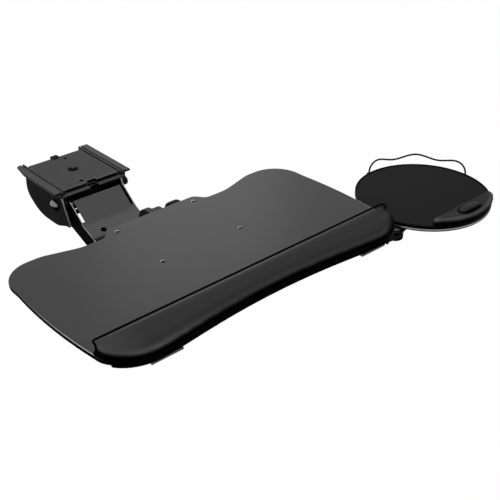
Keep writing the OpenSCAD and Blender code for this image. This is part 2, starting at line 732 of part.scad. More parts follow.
module cover_hole() {
    p = on_arm(cover_s - cover_hole_s, shoulder_h);
    translate([-cover_hole_x, p.x, p.y]) rotate([arm_slope, 0, 0])
        cylinder(r = cover_hole_r, h = 4 * cover_t, center = true);
}
// Room beside the cover's front flange, which goes down between the side plates
module beside_flange() {
    top = shoulder_h - cover_t - 0.05;
    both_sides() across(arm_in - run_gap, 2 * arm_out) polygon(arm_outline([
        [shoulder_s, top, 0], [2 * cover_s, top, 0], [2 * cover_s, -hump_h, 0], [shoulder_s, -hump_h, 0]]));
}
module arm_cover() color(steel) difference() {
    across(-arm_out, arm_out) cover_profile();
    both_sides() across(cover_out, 2 * arm_out) polygon(arm_outline([
        [0, 2 * hump_h, 0], [slot_end, 2 * hump_h, 0], [slot_end, -hump_h, 0], [0, -hump_h, 0]]));
    beside_flange();
    cover_hole();
    bar_rods(bar_r);
}
module arm_cross_bars() color(dark_steel) bar_rods(bar_r);

// Levelling link: runs beside the arm and keeps the head at one angle
module control_link() color(dark_steel) difference() {
    span = link_front - link_rear;
    web_at = -link_end_r + link_t / 2;
    union() {
        both_sides() across(link_in, link_out) strap(link_rear, link_end_r, link_front, link_end_r);
        translate([0, link_rear.x, link_rear.y]) rotate([arm_slope, 0, 0])
            translate([-link_out, link_web_front - norm(span), web_at - link_t / 2])
                cube([2 * link_out, norm(span) - link_web_rear - link_web_front, link_t]);
    }
    rod(link_rear, link_pin_r + shaft_gap, -bracket_w, bracket_w);
    rod(link_front, link_pin_r + open_gap, -bracket_w, bracket_w);
}

// Head: rises from the arm's front pivot to the tilt hinge behind the board
head_dir = unit(tilt_axis - front_pivot);
head_side = [head_dir.y, -head_dir.x];
head_mid = front_pivot + 0.6 * (tilt_axis - front_pivot);
head_plate_r = 14;
head_neck_r = 10;
module head_web() {
    from = front_pivot - 2 * head_dir;
    to = head_mid + 4 * head_dir;
    polygon([from - 5 * head_side, to - 5 * head_side, to - 9 * head_side, from - 9 * head_side]);
}
module head_bracket() color(dark_steel) difference() {
    union() {
        both_sides() {
            across(head_in, head_out) {
                strap(front_pivot, head_plate_r, head_mid, head_neck_r);
                strap(front_pivot, head_plate_r, link_front, head_neck_r);
            }
        }
        across(head_knuckle_x, head_knuckle_end) strap(head_mid, head_neck_r, tilt_axis, head_knuckle_r);
        across(-head_knuckle_end, -head_knuckle_x) strap(head_mid, head_neck_r, tilt_axis, left_knuckle_r);
        across(-head_out, head_out) head_web();
    }
    rod(front_pivot, shaft_r, -bracket_w, bracket_w);
    rod(link_front, link_pin_r, -bracket_w, bracket_w);
    rod(tilt_axis, shaft_r, -bracket_w, bracket_w);
}
module front_shaft() color(bright_steel)
    rod(front_pivot, shaft_r, -arm_out - run_gap - clip_t, arm_out + run_gap + clip_t);
module front_shaft_clips() color(bright_steel) both_sides() difference() {
    rod(front_pivot, shaft_r + 2, arm_out + run_gap, arm_out + run_gap + clip_t);
    rod(front_pivot, shaft_r, 0, bracket_w);
}
module front_washers() color(nylon) both_sides() difference() {
    rod(front_pivot, 2.2 * shaft_r, head_out, head_out + front_washer_t);
    rod(front_pivot, shaft_r, 0, bracket_w);
}
module front_link_pin() color(bright_steel) rod(link_front, link_pin_r, -head_out, head_out);
module tilt_shaft() color(bright_steel)
    rod(tilt_axis, shaft_r, -head_knuckle_end - 2, dial_x + dial_w - dial_cap - run_gap);
module tilt_spacer() color(nylon) difference() {
    rod(tilt_axis, shaft_r + 3, head_knuckle_end, dial_x - run_gap);
    rod(tilt_axis, shaft_r, 0, bracket_w);
}
// Round grip along its own axis from 0 to w, with a blind bore and shallow flutes
module grip(r, w, bore, depth, flutes) {
    edge = min(r, w) / 4;
    difference() {
        rotate_extrude() polygon(concat(
            [[0, 0]],
            [for (a = [-90 : 15 : 0]) [r - edge + edge * cos(a), edge + edge * sin(a)]],
            [for (a = [0 : 15 : 90]) [r - edge + edge * cos(a), w - edge + edge * sin(a)]],
            [[0, w]]));
        translate([0, 0, -1]) cylinder(r = bore, h = depth + 1);
        for (k = [0 : flutes - 1]) rotate(360 * k / flutes)
            translate([r + r / 24, 0, -1]) cylinder(r = r / 9.5, h = w + 2);
    }
}
module lock_knob() color(plastic)
    translate([cheek_out + run_gap, rear_pivot.x, rear_pivot.y]) rotate([0, 90, 0])
    grip(lock_r, lock_w, shaft_r + shaft_gap, lock_w - lock_cap, 10);
module tilt_dial() color(plastic)
    translate([dial_x, tilt_axis.x, tilt_axis.y]) rotate([0, 90, 0])
    grip(dial_r, dial_w, shaft_r + shaft_gap, dial_w - dial_cap, 18);

// Tilt plate: knuckles on the tilt shaft, and a plate screwed under the board
module board_screw_places() {
    for (side = [-1, 1], row = [0, 1])
        translate([side * screw_dx / 2, board_y - screw_v - row * screw_dy, 0]) children();
}
module knuckle_outline(r) strap(tilt_axis, r, [board_y - 50, plate_low - 2], 4);
module tilt_plate() color(dark_steel) difference() {
    edge = 10;
    rear = board_y - screw_v + edge;
    union() {
        translate([-screw_dx / 2 - edge, rear - screw_dy - 2 * edge, plate_low])
            cube([screw_dx + 2 * edge, screw_dy + 2 * edge, sheet_t]);
        across(knuckle_x, knuckle_end) knuckle_outline(knuckle_r);
        across(-knuckle_end, -knuckle_x) knuckle_outline(left_knuckle_r);
    }
    rod(tilt_axis, shaft_r + shaft_gap, -bracket_w, bracket_w);
    board_screw_places() post([0, 0], screw_r, plate_low - 1, board_low + 1);
    translate([-board_w, board_y - 1.2 * board_w, board_low]) cube([2 * board_w, 2 * board_w, board_w]);
}
module board_screws() color(bright_steel) board_screw_places() {
    post([0, 0], screw_r, plate_low, board_top - screw_tip);
    post([0, 0], 1.9 * screw_r, plate_low - screw_head_h, plate_low);
}

// Board and palm rest outlines: x across, v forwards from the board's rear edge
function side_x(v) = board_w / 2 - pow(v - widest_v, 2) / (2 * side_r);
function lobe(x) =
    let (w = min(1, abs(x) / lobe_at))
    lobe_d * (hollow * w * w - (hollow - 1) * pow(w, 2 * hollow / (hollow - 1)));
function front_v(x, inset) = palm_front_v - inset + lobe(x);
// Front edge from the right-hand end to the middle, drawn in from the palm rest's front by inset
function front_edge(inset) = concat(
    [for (a = [0 : 6 : 84])
        [lobe_at + (palm_end_x - lobe_at) * cos(a),
         palm_end_v + (front_v(lobe_at, inset) - palm_end_v) * sin(a)]],
    [for (x = [lobe_at : -lobe_at / 12 : 1]) [x, front_v(x, inset)]]);
// Front edge from end to end, without its first stretch at each end
lip_skip = 5;
function lip_edge(inset) =
    let (right = [for (i = [lip_skip : len(front_edge(inset)) - 1]) front_edge(inset)[i]])
    concat(right, mirrored(right));
rear_crest_at = board_w / 2 - rear_crest_x;
function board_half() = concat(
    [[tab_w / 2, 0, 12], [tab_w / 2 + 13, scallop_d, 14], [tab_w / 2 + 52, scallop_d, 80],
     [rear_crest_at, 1, 60], [side_x(corner_r) + 0.5, 1, corner_r]],
    [for (v = [corner_r + 14 : 14 : palm_end_v - 6]) [side_x(v), v, 0]],
    [for (p = front_edge(palm_lip)) [p.x, p.y, 0]]);
function full_outline(half) =
    let (n = len(half))
    concat(half, [for (i = [n - 1 : -1 : 0]) [-half[i].x, half[i].y, half[i][2]]]);
module from_rear_edge() translate([0, board_y, 0]) mirror([0, 1, 0]) children();
module board_outline() polygon(rounded(full_outline(board_half())));
module palm_outline() {
    right = concat([[palm_end_x - 1, palm_v, 4]], [for (p = front_edge(0)) [p.x, p.y, 0]]);
    polygon(rounded(full_outline(right)));
}
module board() color(laminate) difference() {
    translate([0, 0, board_low]) linear_extrude(board_t) from_rear_edge() board_outline();
    board_screw_places() post([0, 0], screw_r, board_low - 1, board_top + 1);
    clip_screw_shanks();
    bracket_screw_shanks();
}
module palm_base() color(plastic) {
    translate([0, 0, board_top]) linear_extrude(palm_base_t) from_rear_edge() palm_outline();
    translate([0, 0, lip_low]) linear_extrude(board_top - lip_low) from_rear_edge()
        polygon(concat(
            lip_edge(0), [for (i = [len(lip_edge(palm_lip)) - 1 : -1 : 0]) lip_edge(palm_lip)[i]]));
}
module palm_rest() color(cushion) {
    rear_corner = 5;
    tip = palm_end_x - 1;
    // Shares of the half length: even along the middle, closer towards the ends
    shares = [for (a = [-90 : 5 : 90]) sin(a)];
    cushion_loft([for (w = shares)
        let (x = w * tip,
             past = max(0, abs(x) - lobe_at) / (palm_end_x - lobe_at),
             front = abs(x) <= lobe_at ? front_v(x, 0) :
                 palm_end_v + (front_v(lobe_at, 0) - palm_end_v) * sqrt(1 - past * past),
             rear = palm_v + rear_corner * (1 - end_round(w, rear_corner / tip)))
        [x, board_y - rear, board_y - max(front, rear + 1), (palm_top - palm_low) * end_round(w, 10 / tip)]],
        palm_low, 0.34);
}
module clip_screw_shanks() {
    for (side = [-1, 1])
        post([side * clip_at, clip_rear - clip_d / 2], clip_screw_r, clip_low, board_low + clip_screw_up);
}
// The clips' front face lies just behind the lobes, under the base's lip
clip_rear = board_y - front_v(clip_at, 0) + 3 + clip_d;
module palm_clip() difference() {
    step = 8;
    translate([clip_at - clip_w / 2, 0, 0]) across(0, clip_w) polygon(rounded([
        [clip_rear, board_low, 0], [clip_rear, clip_low, 2], [clip_rear - clip_d, clip_low, 2],
        [clip_rear - clip_d, clip_top, 1], [clip_rear - clip_d + step, clip_top, 0],
        [clip_rear - clip_d + step, board_low, 0]]));
    clip_screw_shanks();
}
module palm_clip_right() color(plastic) palm_clip();
module palm_clip_left() color(plastic) mirror([1, 0, 0]) palm_clip();
module clip_screws() color(bright_steel) {
    clip_screw_shanks();
    for (side = [-1, 1])
        post([side * clip_at, clip_rear - clip_d / 2], 2 * clip_screw_r, clip_low - 1.5, clip_low);
}

// Mouse platform's drop bracket, swing arm and clamp
module bracket_screw_shanks() {
    for (k = [0.3, 0.75])
        post([drop_wall_x - k * drop_flange, swing_pivot.y], clip_screw_r,
             board_low - drop_t, board_low + clip_screw_up);
}
module mouse_bracket() color(dark_steel) difference() {
    union() {
        translate([drop_wall_x - drop_flange, swing_pivot.y - drop_w / 2, board_low - drop_t])
            cube([drop_flange + drop_t, drop_w, drop_t]);
        translate([drop_wall_x, swing_pivot.y - drop_w / 2, drop_low])
            cube([drop_t, drop_w, board_low - drop_low]);
        translate([drop_wall_x, swing_pivot.y - drop_end_r, drop_low])
            cube([swing_pivot.x - drop_wall_x, 2 * drop_end_r, drop_t]);
        post(swing_pivot, drop_end_r, drop_low, drop_top);
    }
    post(swing_pivot, swing_bolt_r, drop_low - 1, drop_top + 1);
    bracket_screw_shanks();
}
module bracket_screws() color(bright_steel) {
    bracket_screw_shanks();
    for (k = [0.3, 0.75])
        post([drop_wall_x - k * drop_flange, swing_pivot.y], 2 * clip_screw_r,
             board_low - drop_t - 1.5, board_low - drop_t);
}
module swing_bolt() color(bright_steel) {
    post(swing_pivot, swing_bolt_r, knob_top - knob_h + 4, swing_top + run_gap);
    post(swing_pivot, 1.6 * swing_bolt_r, swing_top + run_gap, swing_top + run_gap + swing_bolt_head_h);
}
module clamp_knob() color(plastic) translate([swing_pivot.x, swing_pivot.y, knob_top]) mirror([0, 0, 1])
    grip(knob_r, knob_h, swing_bolt_r + shaft_gap, knob_h - 3, 12);
module mouse_arm() color(dark_steel) difference() {
    translate([0, 0, swing_low]) linear_extrude(swing_t)
        strap(swing_pivot, swing_end_r, spindle, swing_nose_r);
    post(swing_pivot, swing_bolt_r + shaft_gap, swing_low - 1, swing_top + 1);
    post(spindle, spindle_r + shaft_gap, swing_low - 1, swing_top + 1);
}

// Mouse platform
module platform_spindle() color(bright_steel) {
    post(spindle, spindle_r, swing_low - 4, tray_low + rim_h / 2);
    ring_z(spindle, spindle_r, flange_r, tray_low - spindle_flange_t, tray_low);
}
module spindle_washer() color(nylon)
    ring_z(spindle, spindle_r, flange_r, swing_top + run_gap, tray_low - spindle_flange_t);
module spindle_clip() color(bright_steel)
    ring_z(spindle, spindle_r, spindle_r + 3, swing_low - run_gap - clip_t, swing_low - run_gap);
module platform_tray() color(plastic) translate([spindle.x, spindle.y, 0]) difference() {
    rotate_extrude($fn = 128) polygon([
        [0, tray_low], [tray_r - 2.5, tray_low], [tray_r - 0.7, tray_low + 0.8], [tray_r, tray_low + 2.5],
        [tray_r, rim_top - 0.6], [tray_r - 0.6, rim_top], [neck_r, rim_top], [neck_r, ring_low],
        [tray_r, ring_low], [tray_r, ring_top - 0.8], [tray_r - 0.8, ring_top], [ring_in, ring_top],
        [ring_in, pad_low], [0, pad_low]]);
    post([0, 0], spindle_r, tray_low - 1, tray_low + rim_h / 2);
}
module mouse_pad() color(cloth) translate([spindle.x, spindle.y, 0]) rotate_extrude($fn = 128) polygon([
    [0, pad_low], [pad_r, pad_low], [pad_r, pad_top - 0.5], [pad_r - 0.5, pad_top], [0, pad_top]]);
// Wrist rest: a segment along the pad's front rim, with a lens-shaped gel insert in a pocket
function wrist_inner(x) = -wrist_in + 2.5 * (1 + cos(180 * min(1, abs(x) / (1.4 * gel_half)))) / 2;
function wrist_outer(x) = -sqrt(pow(wrist_out, 2) - x * x);
// Share of the insert's half depth at the share w of its half length: a rounded lens
function gel_share(w) = pow(1 - pow(abs(w), 3), 1 / 3);
module gel_pocket() {
    front = [for (a = [90 : -10 : -90]) let (w = sin(a)) [gel_half * w, gel_y - gel_d / 2 * gel_share(w)]];
    rear = [for (a = [-80 : 10 : 80]) let (w = sin(a)) [gel_half * w, gel_y + gel_d / 2 * gel_share(w)]];
    polygon(concat(front, rear));
}
module wrist_rest() color(cushion) translate([spindle.x, spindle.y, 0]) difference() {
    cushion_loft([for (a = [-90 : 7.5 : 90])
        let (w = sin(a), x = w * wrist_half)
        [x, wrist_inner(x), wrist_outer(x), wrist_h * end_round(w, 9 / wrist_half)]], pad_top, 0.12);
    ring_z([0, 0], ring_in - run_gap, 2 * tray_r, pad_top - 1, ring_top);
    translate([0, 0, gel_floor]) linear_extrude(wrist_h) gel_pocket();
}
module wrist_gel() color(cushion) translate([spindle.x, spindle.y, 0]) {
    half = gel_half - run_gap;
    depth = gel_d / 2 - run_gap;
    cushion_loft([for (a = [-85 : 10 : 85])
        let (w = sin(a), d = depth * gel_share(w))
        [w * half, gel_y + d, gel_y - d, (pad_top + wrist_h + gel_up - gel_floor) * (0.55 + 0.45 * cos(a))]],
        gel_floor, 0.08, 12, 4, 4);
}
// Guard: one wire that rises from two sockets at the rim and runs in a wave between them
guard_steps = 44;
function guard_at(w) =
    let (a = guard_angle + guard_span * w, arch = pow(max(0, 1 - pow(abs(w), 8)), 1 / 3))
    [guard_r * cos(a), guard_r * sin(a), guard_foot + arch * (guard_h + guard_wave * cos(360 * w / 0.84))];
module wire_guard() color(bright_steel) translate([spindle.x, spindle.y, 0]) {
    pts = [for (k = [0 : guard_steps]) guard_at(-cos(180 * k / guard_steps))];
    tube(pts, [for (p = pts) [p.x, p.y, 0]], guard_wire / 2, 8);
}
module guard_sockets() color(plastic) translate([spindle.x, spindle.y, 0]) difference() {
    for (side = [-1, 1]) let (a = guard_angle + side * guard_span)
        post(guard_r * [cos(a), sin(a)], socket_r, tray_low + 1, guard_foot);
    post([0, 0], tray_r, tray_low, guard_foot + 1, $fn = 128);
}

carriage_plate();
carriage_base();
glide_left();
glide_right();
glide_rivets();
stop_bumper();
swivel_bolt();
thrust_washer();
nut_washer();
swivel_nut();
swivel_bracket();
rear_shaft();
shaft_cap();
spring_sleeve();
lift_spring();
pivot_washers();
rear_link_pin();
lock_knob();
arm_plate_left();
arm_plate_right();
arm_cover();
arm_cross_bars();
control_link();
head_bracket();
front_shaft();
front_shaft_clips();
front_washers();
front_link_pin();
tilt_shaft();
tilt_spacer();
tilt_dial();
tilt_plate();
board_screws();
board();
palm_base();
palm_rest();
palm_clip_left();
palm_clip_right();
clip_screws();
mouse_bracket();
bracket_screws();
swing_bolt();
clamp_knob();
mouse_arm();
platform_spindle();
spindle_washer();
spindle_clip();
platform_tray();
mouse_pad();
wrist_rest();
wrist_gel();
wire_guard();
guard_sockets();
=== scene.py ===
"""Dresses the under-desk keyboard tray: eased metalwork, padded rests, wire, finishes, light and camera."""

from __future__ import annotations

import json
import logging
import math
from dataclasses import dataclass
from enum import Enum
from functools import cached_property
from typing import Any, Iterable, Sequence, Union

import bmesh
import bpy
from mathutils import Matrix, Vector
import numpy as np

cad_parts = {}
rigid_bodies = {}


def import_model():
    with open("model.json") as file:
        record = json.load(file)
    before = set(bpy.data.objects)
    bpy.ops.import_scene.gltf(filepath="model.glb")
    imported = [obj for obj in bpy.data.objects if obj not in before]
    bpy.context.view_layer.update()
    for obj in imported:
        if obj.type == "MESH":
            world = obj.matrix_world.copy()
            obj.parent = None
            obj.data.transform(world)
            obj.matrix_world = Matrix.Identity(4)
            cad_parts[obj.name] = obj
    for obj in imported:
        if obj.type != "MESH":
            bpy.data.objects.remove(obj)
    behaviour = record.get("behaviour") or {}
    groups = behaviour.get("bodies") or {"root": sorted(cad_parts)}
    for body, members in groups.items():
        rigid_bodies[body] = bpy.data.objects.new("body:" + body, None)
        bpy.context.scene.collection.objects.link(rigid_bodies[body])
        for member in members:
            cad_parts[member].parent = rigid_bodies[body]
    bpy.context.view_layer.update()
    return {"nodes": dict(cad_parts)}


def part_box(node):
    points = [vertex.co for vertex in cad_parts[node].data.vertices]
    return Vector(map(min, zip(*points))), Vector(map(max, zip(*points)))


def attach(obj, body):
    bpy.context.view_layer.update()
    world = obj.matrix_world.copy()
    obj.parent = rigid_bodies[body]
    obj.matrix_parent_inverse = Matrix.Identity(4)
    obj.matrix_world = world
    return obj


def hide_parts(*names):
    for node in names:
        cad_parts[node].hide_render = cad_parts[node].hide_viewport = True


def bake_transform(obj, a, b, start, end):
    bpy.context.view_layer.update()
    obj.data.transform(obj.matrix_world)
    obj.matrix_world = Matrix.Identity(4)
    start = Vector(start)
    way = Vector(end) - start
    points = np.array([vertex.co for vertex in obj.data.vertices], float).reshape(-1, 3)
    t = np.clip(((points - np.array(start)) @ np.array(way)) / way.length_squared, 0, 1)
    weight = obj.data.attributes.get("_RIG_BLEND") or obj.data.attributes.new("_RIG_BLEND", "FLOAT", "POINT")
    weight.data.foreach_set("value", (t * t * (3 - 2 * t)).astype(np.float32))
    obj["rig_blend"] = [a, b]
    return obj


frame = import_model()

LOG = logging.getLogger("keyboard_tray")
Colour = tuple[float, float, float]
Alpha = tuple[float, float, float, float]
Span = tuple[float, float]
MM = 0.001
WHITE: Colour = (1.0, 1.0, 1.0)
# Points closer than this are one point.
MERGE = 0.002 * MM
# The place of a piece's second finish.
SECOND = 1
# How much of the painted edge highlight's grey is missing where the finish's pattern is darkest.
SHEEN_LOSS = 0.25
# The wave node's own factor between its scale and the angle of its bands.
WAVE_FACTOR = 20
# The mouse platform's axis, seen from above.
PLATFORM_X = 382.476 * MM
PLATFORM_Y = -426.363 * MM


# Shader maths

class Socket:
    """An output of a shader node that takes part in Python arithmetic."""

    def __init__(self, shader: "Shader", out: bpy.types.NodeSocket) -> None:
        """Keeps the node tree it belongs to and the output itself."""
        self.shader = shader
        self.out = out

    def _math(self, operation: str, first: "Input", second: "Input") -> "Socket":
        """A Math node on two values."""
        return self.shader.node("Math", {"operation": operation}, {0: first, 1: second})

    def __add__(self, other: "Input") -> "Socket":
        """Sum."""
        return self._math("ADD", self, other)

    def __radd__(self, other: "Input") -> "Socket":
        """Sum, with the number first."""
        return self._math("ADD", other, self)

    def __sub__(self, other: "Input") -> "Socket":
        """Difference."""
        return self._math("SUBTRACT", self, other)

    def __rsub__(self, other: "Input") -> "Socket":
        """Difference, with the number first."""
        return self._math("SUBTRACT", other, self)

    def __mul__(self, other: "Input") -> "Socket":
        """Product."""
        return self._math("MULTIPLY", self, other)

    def __rmul__(self, other: "Input") -> "Socket":
        """Product, with the number first."""
        return self._math("MULTIPLY", other, self)

    def larger(self, other: "Input") -> "Socket":
        """The larger of two values."""
        return self._math("MAXIMUM", self, other)


Input = Union[Socket, float, Sequence[float]]
Inputs = dict[Union[str, int], Input]


class Shader:
    """A node tree of a material or the world, written as Python expressions."""

    def __init__(self, tree: bpy.types.NodeTree, output: str) -> None:
        """Empties the tree and adds its output node.

        Args:
            tree: the material's or world's node tree.
            output: the output node's type, without its prefix.
        """
        self.tree = tree
        tree.nodes.clear()
        self.output = tree.nodes.new("ShaderNode" + output)

    def node(self, kind: str, settings: dict[str, Any] | None = None, inputs: Inputs | None = None,
             out: Union[str, int] = 0) -> Socket:
        """Adds a node.

        Args:
            kind: the node's type, without its prefix.
            settings: the node's own settings, which are set first.
                "stops" are a ramp's two (place, grey) pairs.
            inputs: values or links of its input sockets.
            out: the output to return.

        Returns:
            The chosen output, ready for arithmetic.
        """
        made = self.tree.nodes.new("ShaderNode" + kind)
        for key, value in (settings or {}).items():
            if key == "stops":
                self._set_stops(made.color_ramp, value)
            else:
                setattr(made, key, value)
        for key, value in (inputs or {}).items():
            if isinstance(value, Socket):
                self.tree.links.new(value.out, made.inputs[key])
            else:
                made.inputs[key].default_value = value
        return Socket(self, made.outputs[out])

    @staticmethod
    def _set_stops(ramp: bpy.types.ColorRamp, stops: Sequence[Span]) -> None:
        """Gives a new ramp its two grey stops.

        Args:
            ramp: the ramp.
            stops: the (place, grey) pairs, from left to right.
        """
        for element, (place, grey) in zip(ramp.elements, stops):
            element.position = place
            element.color = shade(WHITE, grey)

    @cached_property
    def coords(self) -> Socket:
        """The object coordinates."""
        return self.node("TexCoord", out="Object")

    def noise(self, size: float, detail: float = 2.0, coords: Socket | None = None) -> Socket:
        """Noise whose features are about the given size, on the object coordinates or others."""
        inputs = {"Vector": coords or self.coords, "Scale": 1 / size, "Detail": detail}
        return self.node("TexNoise", {}, inputs)

    def cells(self, size: float, feature: str) -> Socket:
        """Cells of about the given size."""
        return self.node("TexVoronoi", {"feature": feature}, {"Vector": self.coords, "Scale": 1 / size})

    def threads(self, size: float, way: str, uneven: float = 0.4) -> Socket:
        """Slightly uneven threads of the given size, laid across one axis."""
        inputs = {"Vector": self.coords, "Scale": 2 * math.pi / (WAVE_FACTOR * size), "Distortion": uneven}
        return self.node("TexWave", {"bands_direction": way}, inputs)

    def attribute(self, name: str) -> Socket:
        """The value of a mesh's attribute."""
        return self.node("Attribute", {"attribute_name": name}, out="Fac")

    def bump(self, height: Socket, depth: float) -> Socket:
        """A normal from a height of 0 to 1 that stands for a depth in metres."""
        return self.node("Bump", {}, {"Strength": 1.0, "Distance": depth, "Height": height})

    def mix(self, factor: Input, first: Input, second: Input) -> Socket:
        """A colour between two colours."""
        return self.node("Mix", {"data_type": "RGBA"}, {0: factor, 6: first, 7: second}, 2)

    def blend(self, factor: Input, first: Socket, second: Socket) -> Socket:
        """A surface between two surfaces."""
        return self.node("MixShader", {}, {0: factor, 1: first, 2: second})

    def show(self, surface: Socket) -> None:
        """Links the finished surface to the tree's output."""
        self.tree.links.new(surface.out, self.output.inputs["Surface"])


def weighed(terms: Iterable[tuple[float, Socket]]) -> Socket:
    """The sum of values by their shares; a share of 0 is left out."""
    parts = [share * value for share, value in terms if share]
    return sum(parts[1:], parts[0])


def shade(colour: Colour, share: float = 1.0) -> Alpha:
    """A colour made lighter or darker by a share, with full alpha."""
    return (colour[0] * share, colour[1] * share, colour[2] * share, 1.0)


def spread(colour: Colour, by: float) -> tuple[Alpha, Alpha]:
    """A colour made darker and made lighter by a share."""
    return shade(colour, 1 - by), shade(colour, 1 + by)


# Finishes

@dataclass(frozen=True)
class Layer:
    """One layer of a finish's pattern, with a value of 0 to 1.

    Its shares in the colour's variation and in the relief's height are tint and relief. What it adds to the
    roughness from 0 to 1 is rough, and at its mean the roughness is the finish's own.
    """

    value: Socket
    tint: float = 0.0
    rough: float = 0.0
    relief: float = 0.0
    mean: float = 0.5


@dataclass(frozen=True)
class Finish:
    """A surface finish of the tray. Every kind of finish has its own layers.

    The size and depth of the grain are in metres. The grey of the painted highlight on rounded edges and
    rolls, where the attribute edge is 1, is edge; at 0 the finish has no painted highlight.
    """

    name: str
    slot: str
    colour: Colour
    roughness: float
    specular: float
    grain: float = 0.8 * MM
    relief: float = 0.04 * MM
    variation: float = 0.12
    edge: float = 0.0

    def material(self) -> bpy.types.Material:
        """Makes the finish's material, unless it is made already.

        Returns:
            The material.
        """
        known = bpy.data.materials.get(self.name)
        if known is not None:
            return known
        made = bpy.data.materials.new(self.name)
        made.use_nodes = True
        made.diffuse_color = shade(self.colour)
        shader = Shader(made.node_tree, "OutputMaterial")
        shader.show(self.surface(shader))
        return made

    def surface(self, shader: Shader) -> Socket:
        """Makes the surface shader from the finish's layers.

        Args:
            shader: the node tree in the making.

        Returns:
            The shader's output.
        """
        layers = self.layers(shader)
        smooth = self.roughness - sum(layer.rough * layer.mean for layer in layers)
        height = weighed((layer.relief, layer.value) for layer in layers)
        return shader.node("BsdfPrincipled", {}, {
            "Base Color": self.tinted(shader, weighed((layer.tint, layer.value) for layer in layers)),
            "Metallic": self.metallic(shader),
            "Roughness": smooth + weighed((layer.rough, layer.value) for layer in layers),
            "Specular IOR Level": self.specular,
            "Normal": shader.bump(height, self.relief)})

    def layers(self, shader: Shader) -> list[Layer]:
        """Makes the layers of the pattern: here a fine even grain on broad clouds.

        Args:
            shader: the node tree in the making.

        Returns:
            The layers.
        """
        return [Layer(shader.noise(self.grain), tint=0.5, rough=0.08, relief=1.0),
                Layer(shader.noise(45 * MM, detail=3.0), tint=0.5, rough=0.16)]

    def metallic(self, shader: Shader) -> Input:
        """How far the surface is bare metal: here not at all."""
        return 0.0

    def painted_sheen(self, shader: Shader) -> Socket:
        """1 on the edges that carry the painted highlight, 0 elsewhere."""
        return shader.attribute("edge")

    def tinted(self, shader: Shader, factor: Socket) -> Socket:
        """Varies the finish's colour, and paints it grey as a highlight on the marked edges.

        Args:
            shader: the node tree in the making.
            factor: the variation, from 0 to 1.

        Returns:
            The colour.
        """
        plain = shader.mix(factor, *spread(self.colour, self.variation))
        if not self.edge:
            return plain
        # Painted highlight: the marked edges turn to the edge grey, a little less where the pattern is dark.
        edge_highlight = self.painted_sheen(shader) * (1 - SHEEN_LOSS * (1 - factor))
        return shader.mix(edge_highlight, plain, shade(WHITE, self.edge))


@dataclass(frozen=True)
class PowderCoat(Finish):
    """Powder-coated steel: a soft orange peel with a few dull rubs, and metal on the edges that carry the
    painted highlight.
    """

    def layers(self, shader: Shader) -> list[Layer]:
        """Makes the peel, the specks and the rubs.

        Args:
            shader: the node tree in the making.

        Returns:
            The layers.
        """
        rubs_and_sheen = shader.node("ValToRGB", {"stops": ((0.45, 0.0), (0.72, 1.0))},
                          {0: shader.noise(30 * MM, detail=4.0)})
        return [Layer(shader.noise(self.grain, detail=0.0), tint=0.7, rough=0.06, relief=0.3),
                Layer(shader.noise(1.6 * MM, detail=1.0), tint=0.3, relief=0.7),
                Layer(rubs_and_sheen, rough=0.10, mean=0.0)]

    def metallic(self, shader: Shader) -> Input:
        """Metal on the edges that carry the painted highlight."""
        return self.painted_sheen(shader) if self.edge else 0.0


@dataclass(frozen=True)
class BareSteel(Finish):
    """Turned or ground steel with fine lines along one axis, which stretch draws out."""

    specular: float = 0.5
    relief: float = 0.01 * MM
    stretch: tuple[float, float, float] = (1.0, 40.0, 40.0)

    def layers(self, shader: Shader) -> list[Layer]:
        """Makes the lines and a little staining.

        Args:
            shader: the node tree in the making.

        Returns:
            The layers.
        """
        drawn = shader.node("Mapping", {"vector_type": "POINT"},
                            {"Vector": shader.coords, "Scale": self.stretch})
        return [Layer(shader.noise(9 * MM, coords=drawn), tint=0.6, rough=0.14, relief=1.0),
                Layer(shader.noise(6 * MM, detail=3.0), tint=0.4, rough=0.1)]

    def metallic(self, shader: Shader) -> Input:
        """Metal all over."""
        return 1.0


@dataclass(frozen=True)
class Laminate(Finish):
    """The board's face: a matte sheet with a fine pebble and faint mottling."""

    def layers(self, shader: Shader) -> list[Layer]:
        """Makes the specks, the pebbles and the mottling.

        Args:
            shader: the node tree in the making.

        Returns:
            The layers.
        """
        return [Layer(shader.noise(0.5 * MM, detail=1.0), tint=0.45),
                Layer(shader.cells(self.grain, "SMOOTH_F1"), tint=0.25, rough=0.1, relief=1.0),
                Layer(shader.noise(70 * MM, detail=3.0), tint=0.3, rough=0.08)]


@dataclass(frozen=True)
class Vinyl(Finish):
    """The cushions' skin: grained on top, smooth on the sides, which are painted black as shade.

    The attribute panel is 1 on the top panel and 0 on the sides, where the black is painted shade.
    """

    side: Colour = (0.0035, 0.0035, 0.0035)
    side_roughness: float = 0.6
    side_specular: float = 0.004
    side_variation: float = 0.2

    def surface(self, shader: Shader) -> Socket:
        """Mixes the grained top and the sides, painted black as shade, by the panel attribute.

        Args:
            shader: the node tree in the making.

        Returns:
            The shader's output.
        """
        grain = shader.noise(self.grain)
        # Painted shade: the sides are near-black.
        sides = shader.node("BsdfPrincipled", {}, {
            "Base Color": shader.mix(grain, *spread(self.side, self.side_variation)),
            "Roughness": self.side_roughness,
            "Specular IOR Level": self.side_specular,
            "Normal": shader.bump(grain, self.relief)})
        return shader.blend(shader.attribute("panel"), sides, super().surface(shader))

    def layers(self, shader: Shader) -> list[Layer]:
        """Makes leather-like cells with creases between them, and some unevenness.

        Args:
            shader: the node tree in the making.

        Returns:
            The layers.
        """
        crease = shader.cells(self.grain, "DISTANCE_TO_EDGE")
        pore = shader.node("ValToRGB", {"stops": ((0.0, 0.0), (0.22, 1.0))}, {0: crease})
        return [Layer(pore, tint=0.45, rough=-0.06, relief=0.75),
                Layer(shader.noise(4 * MM), tint=0.3, rough=0.12, relief=0.25),
                Layer(shader.noise(60 * MM), tint=0.25)]


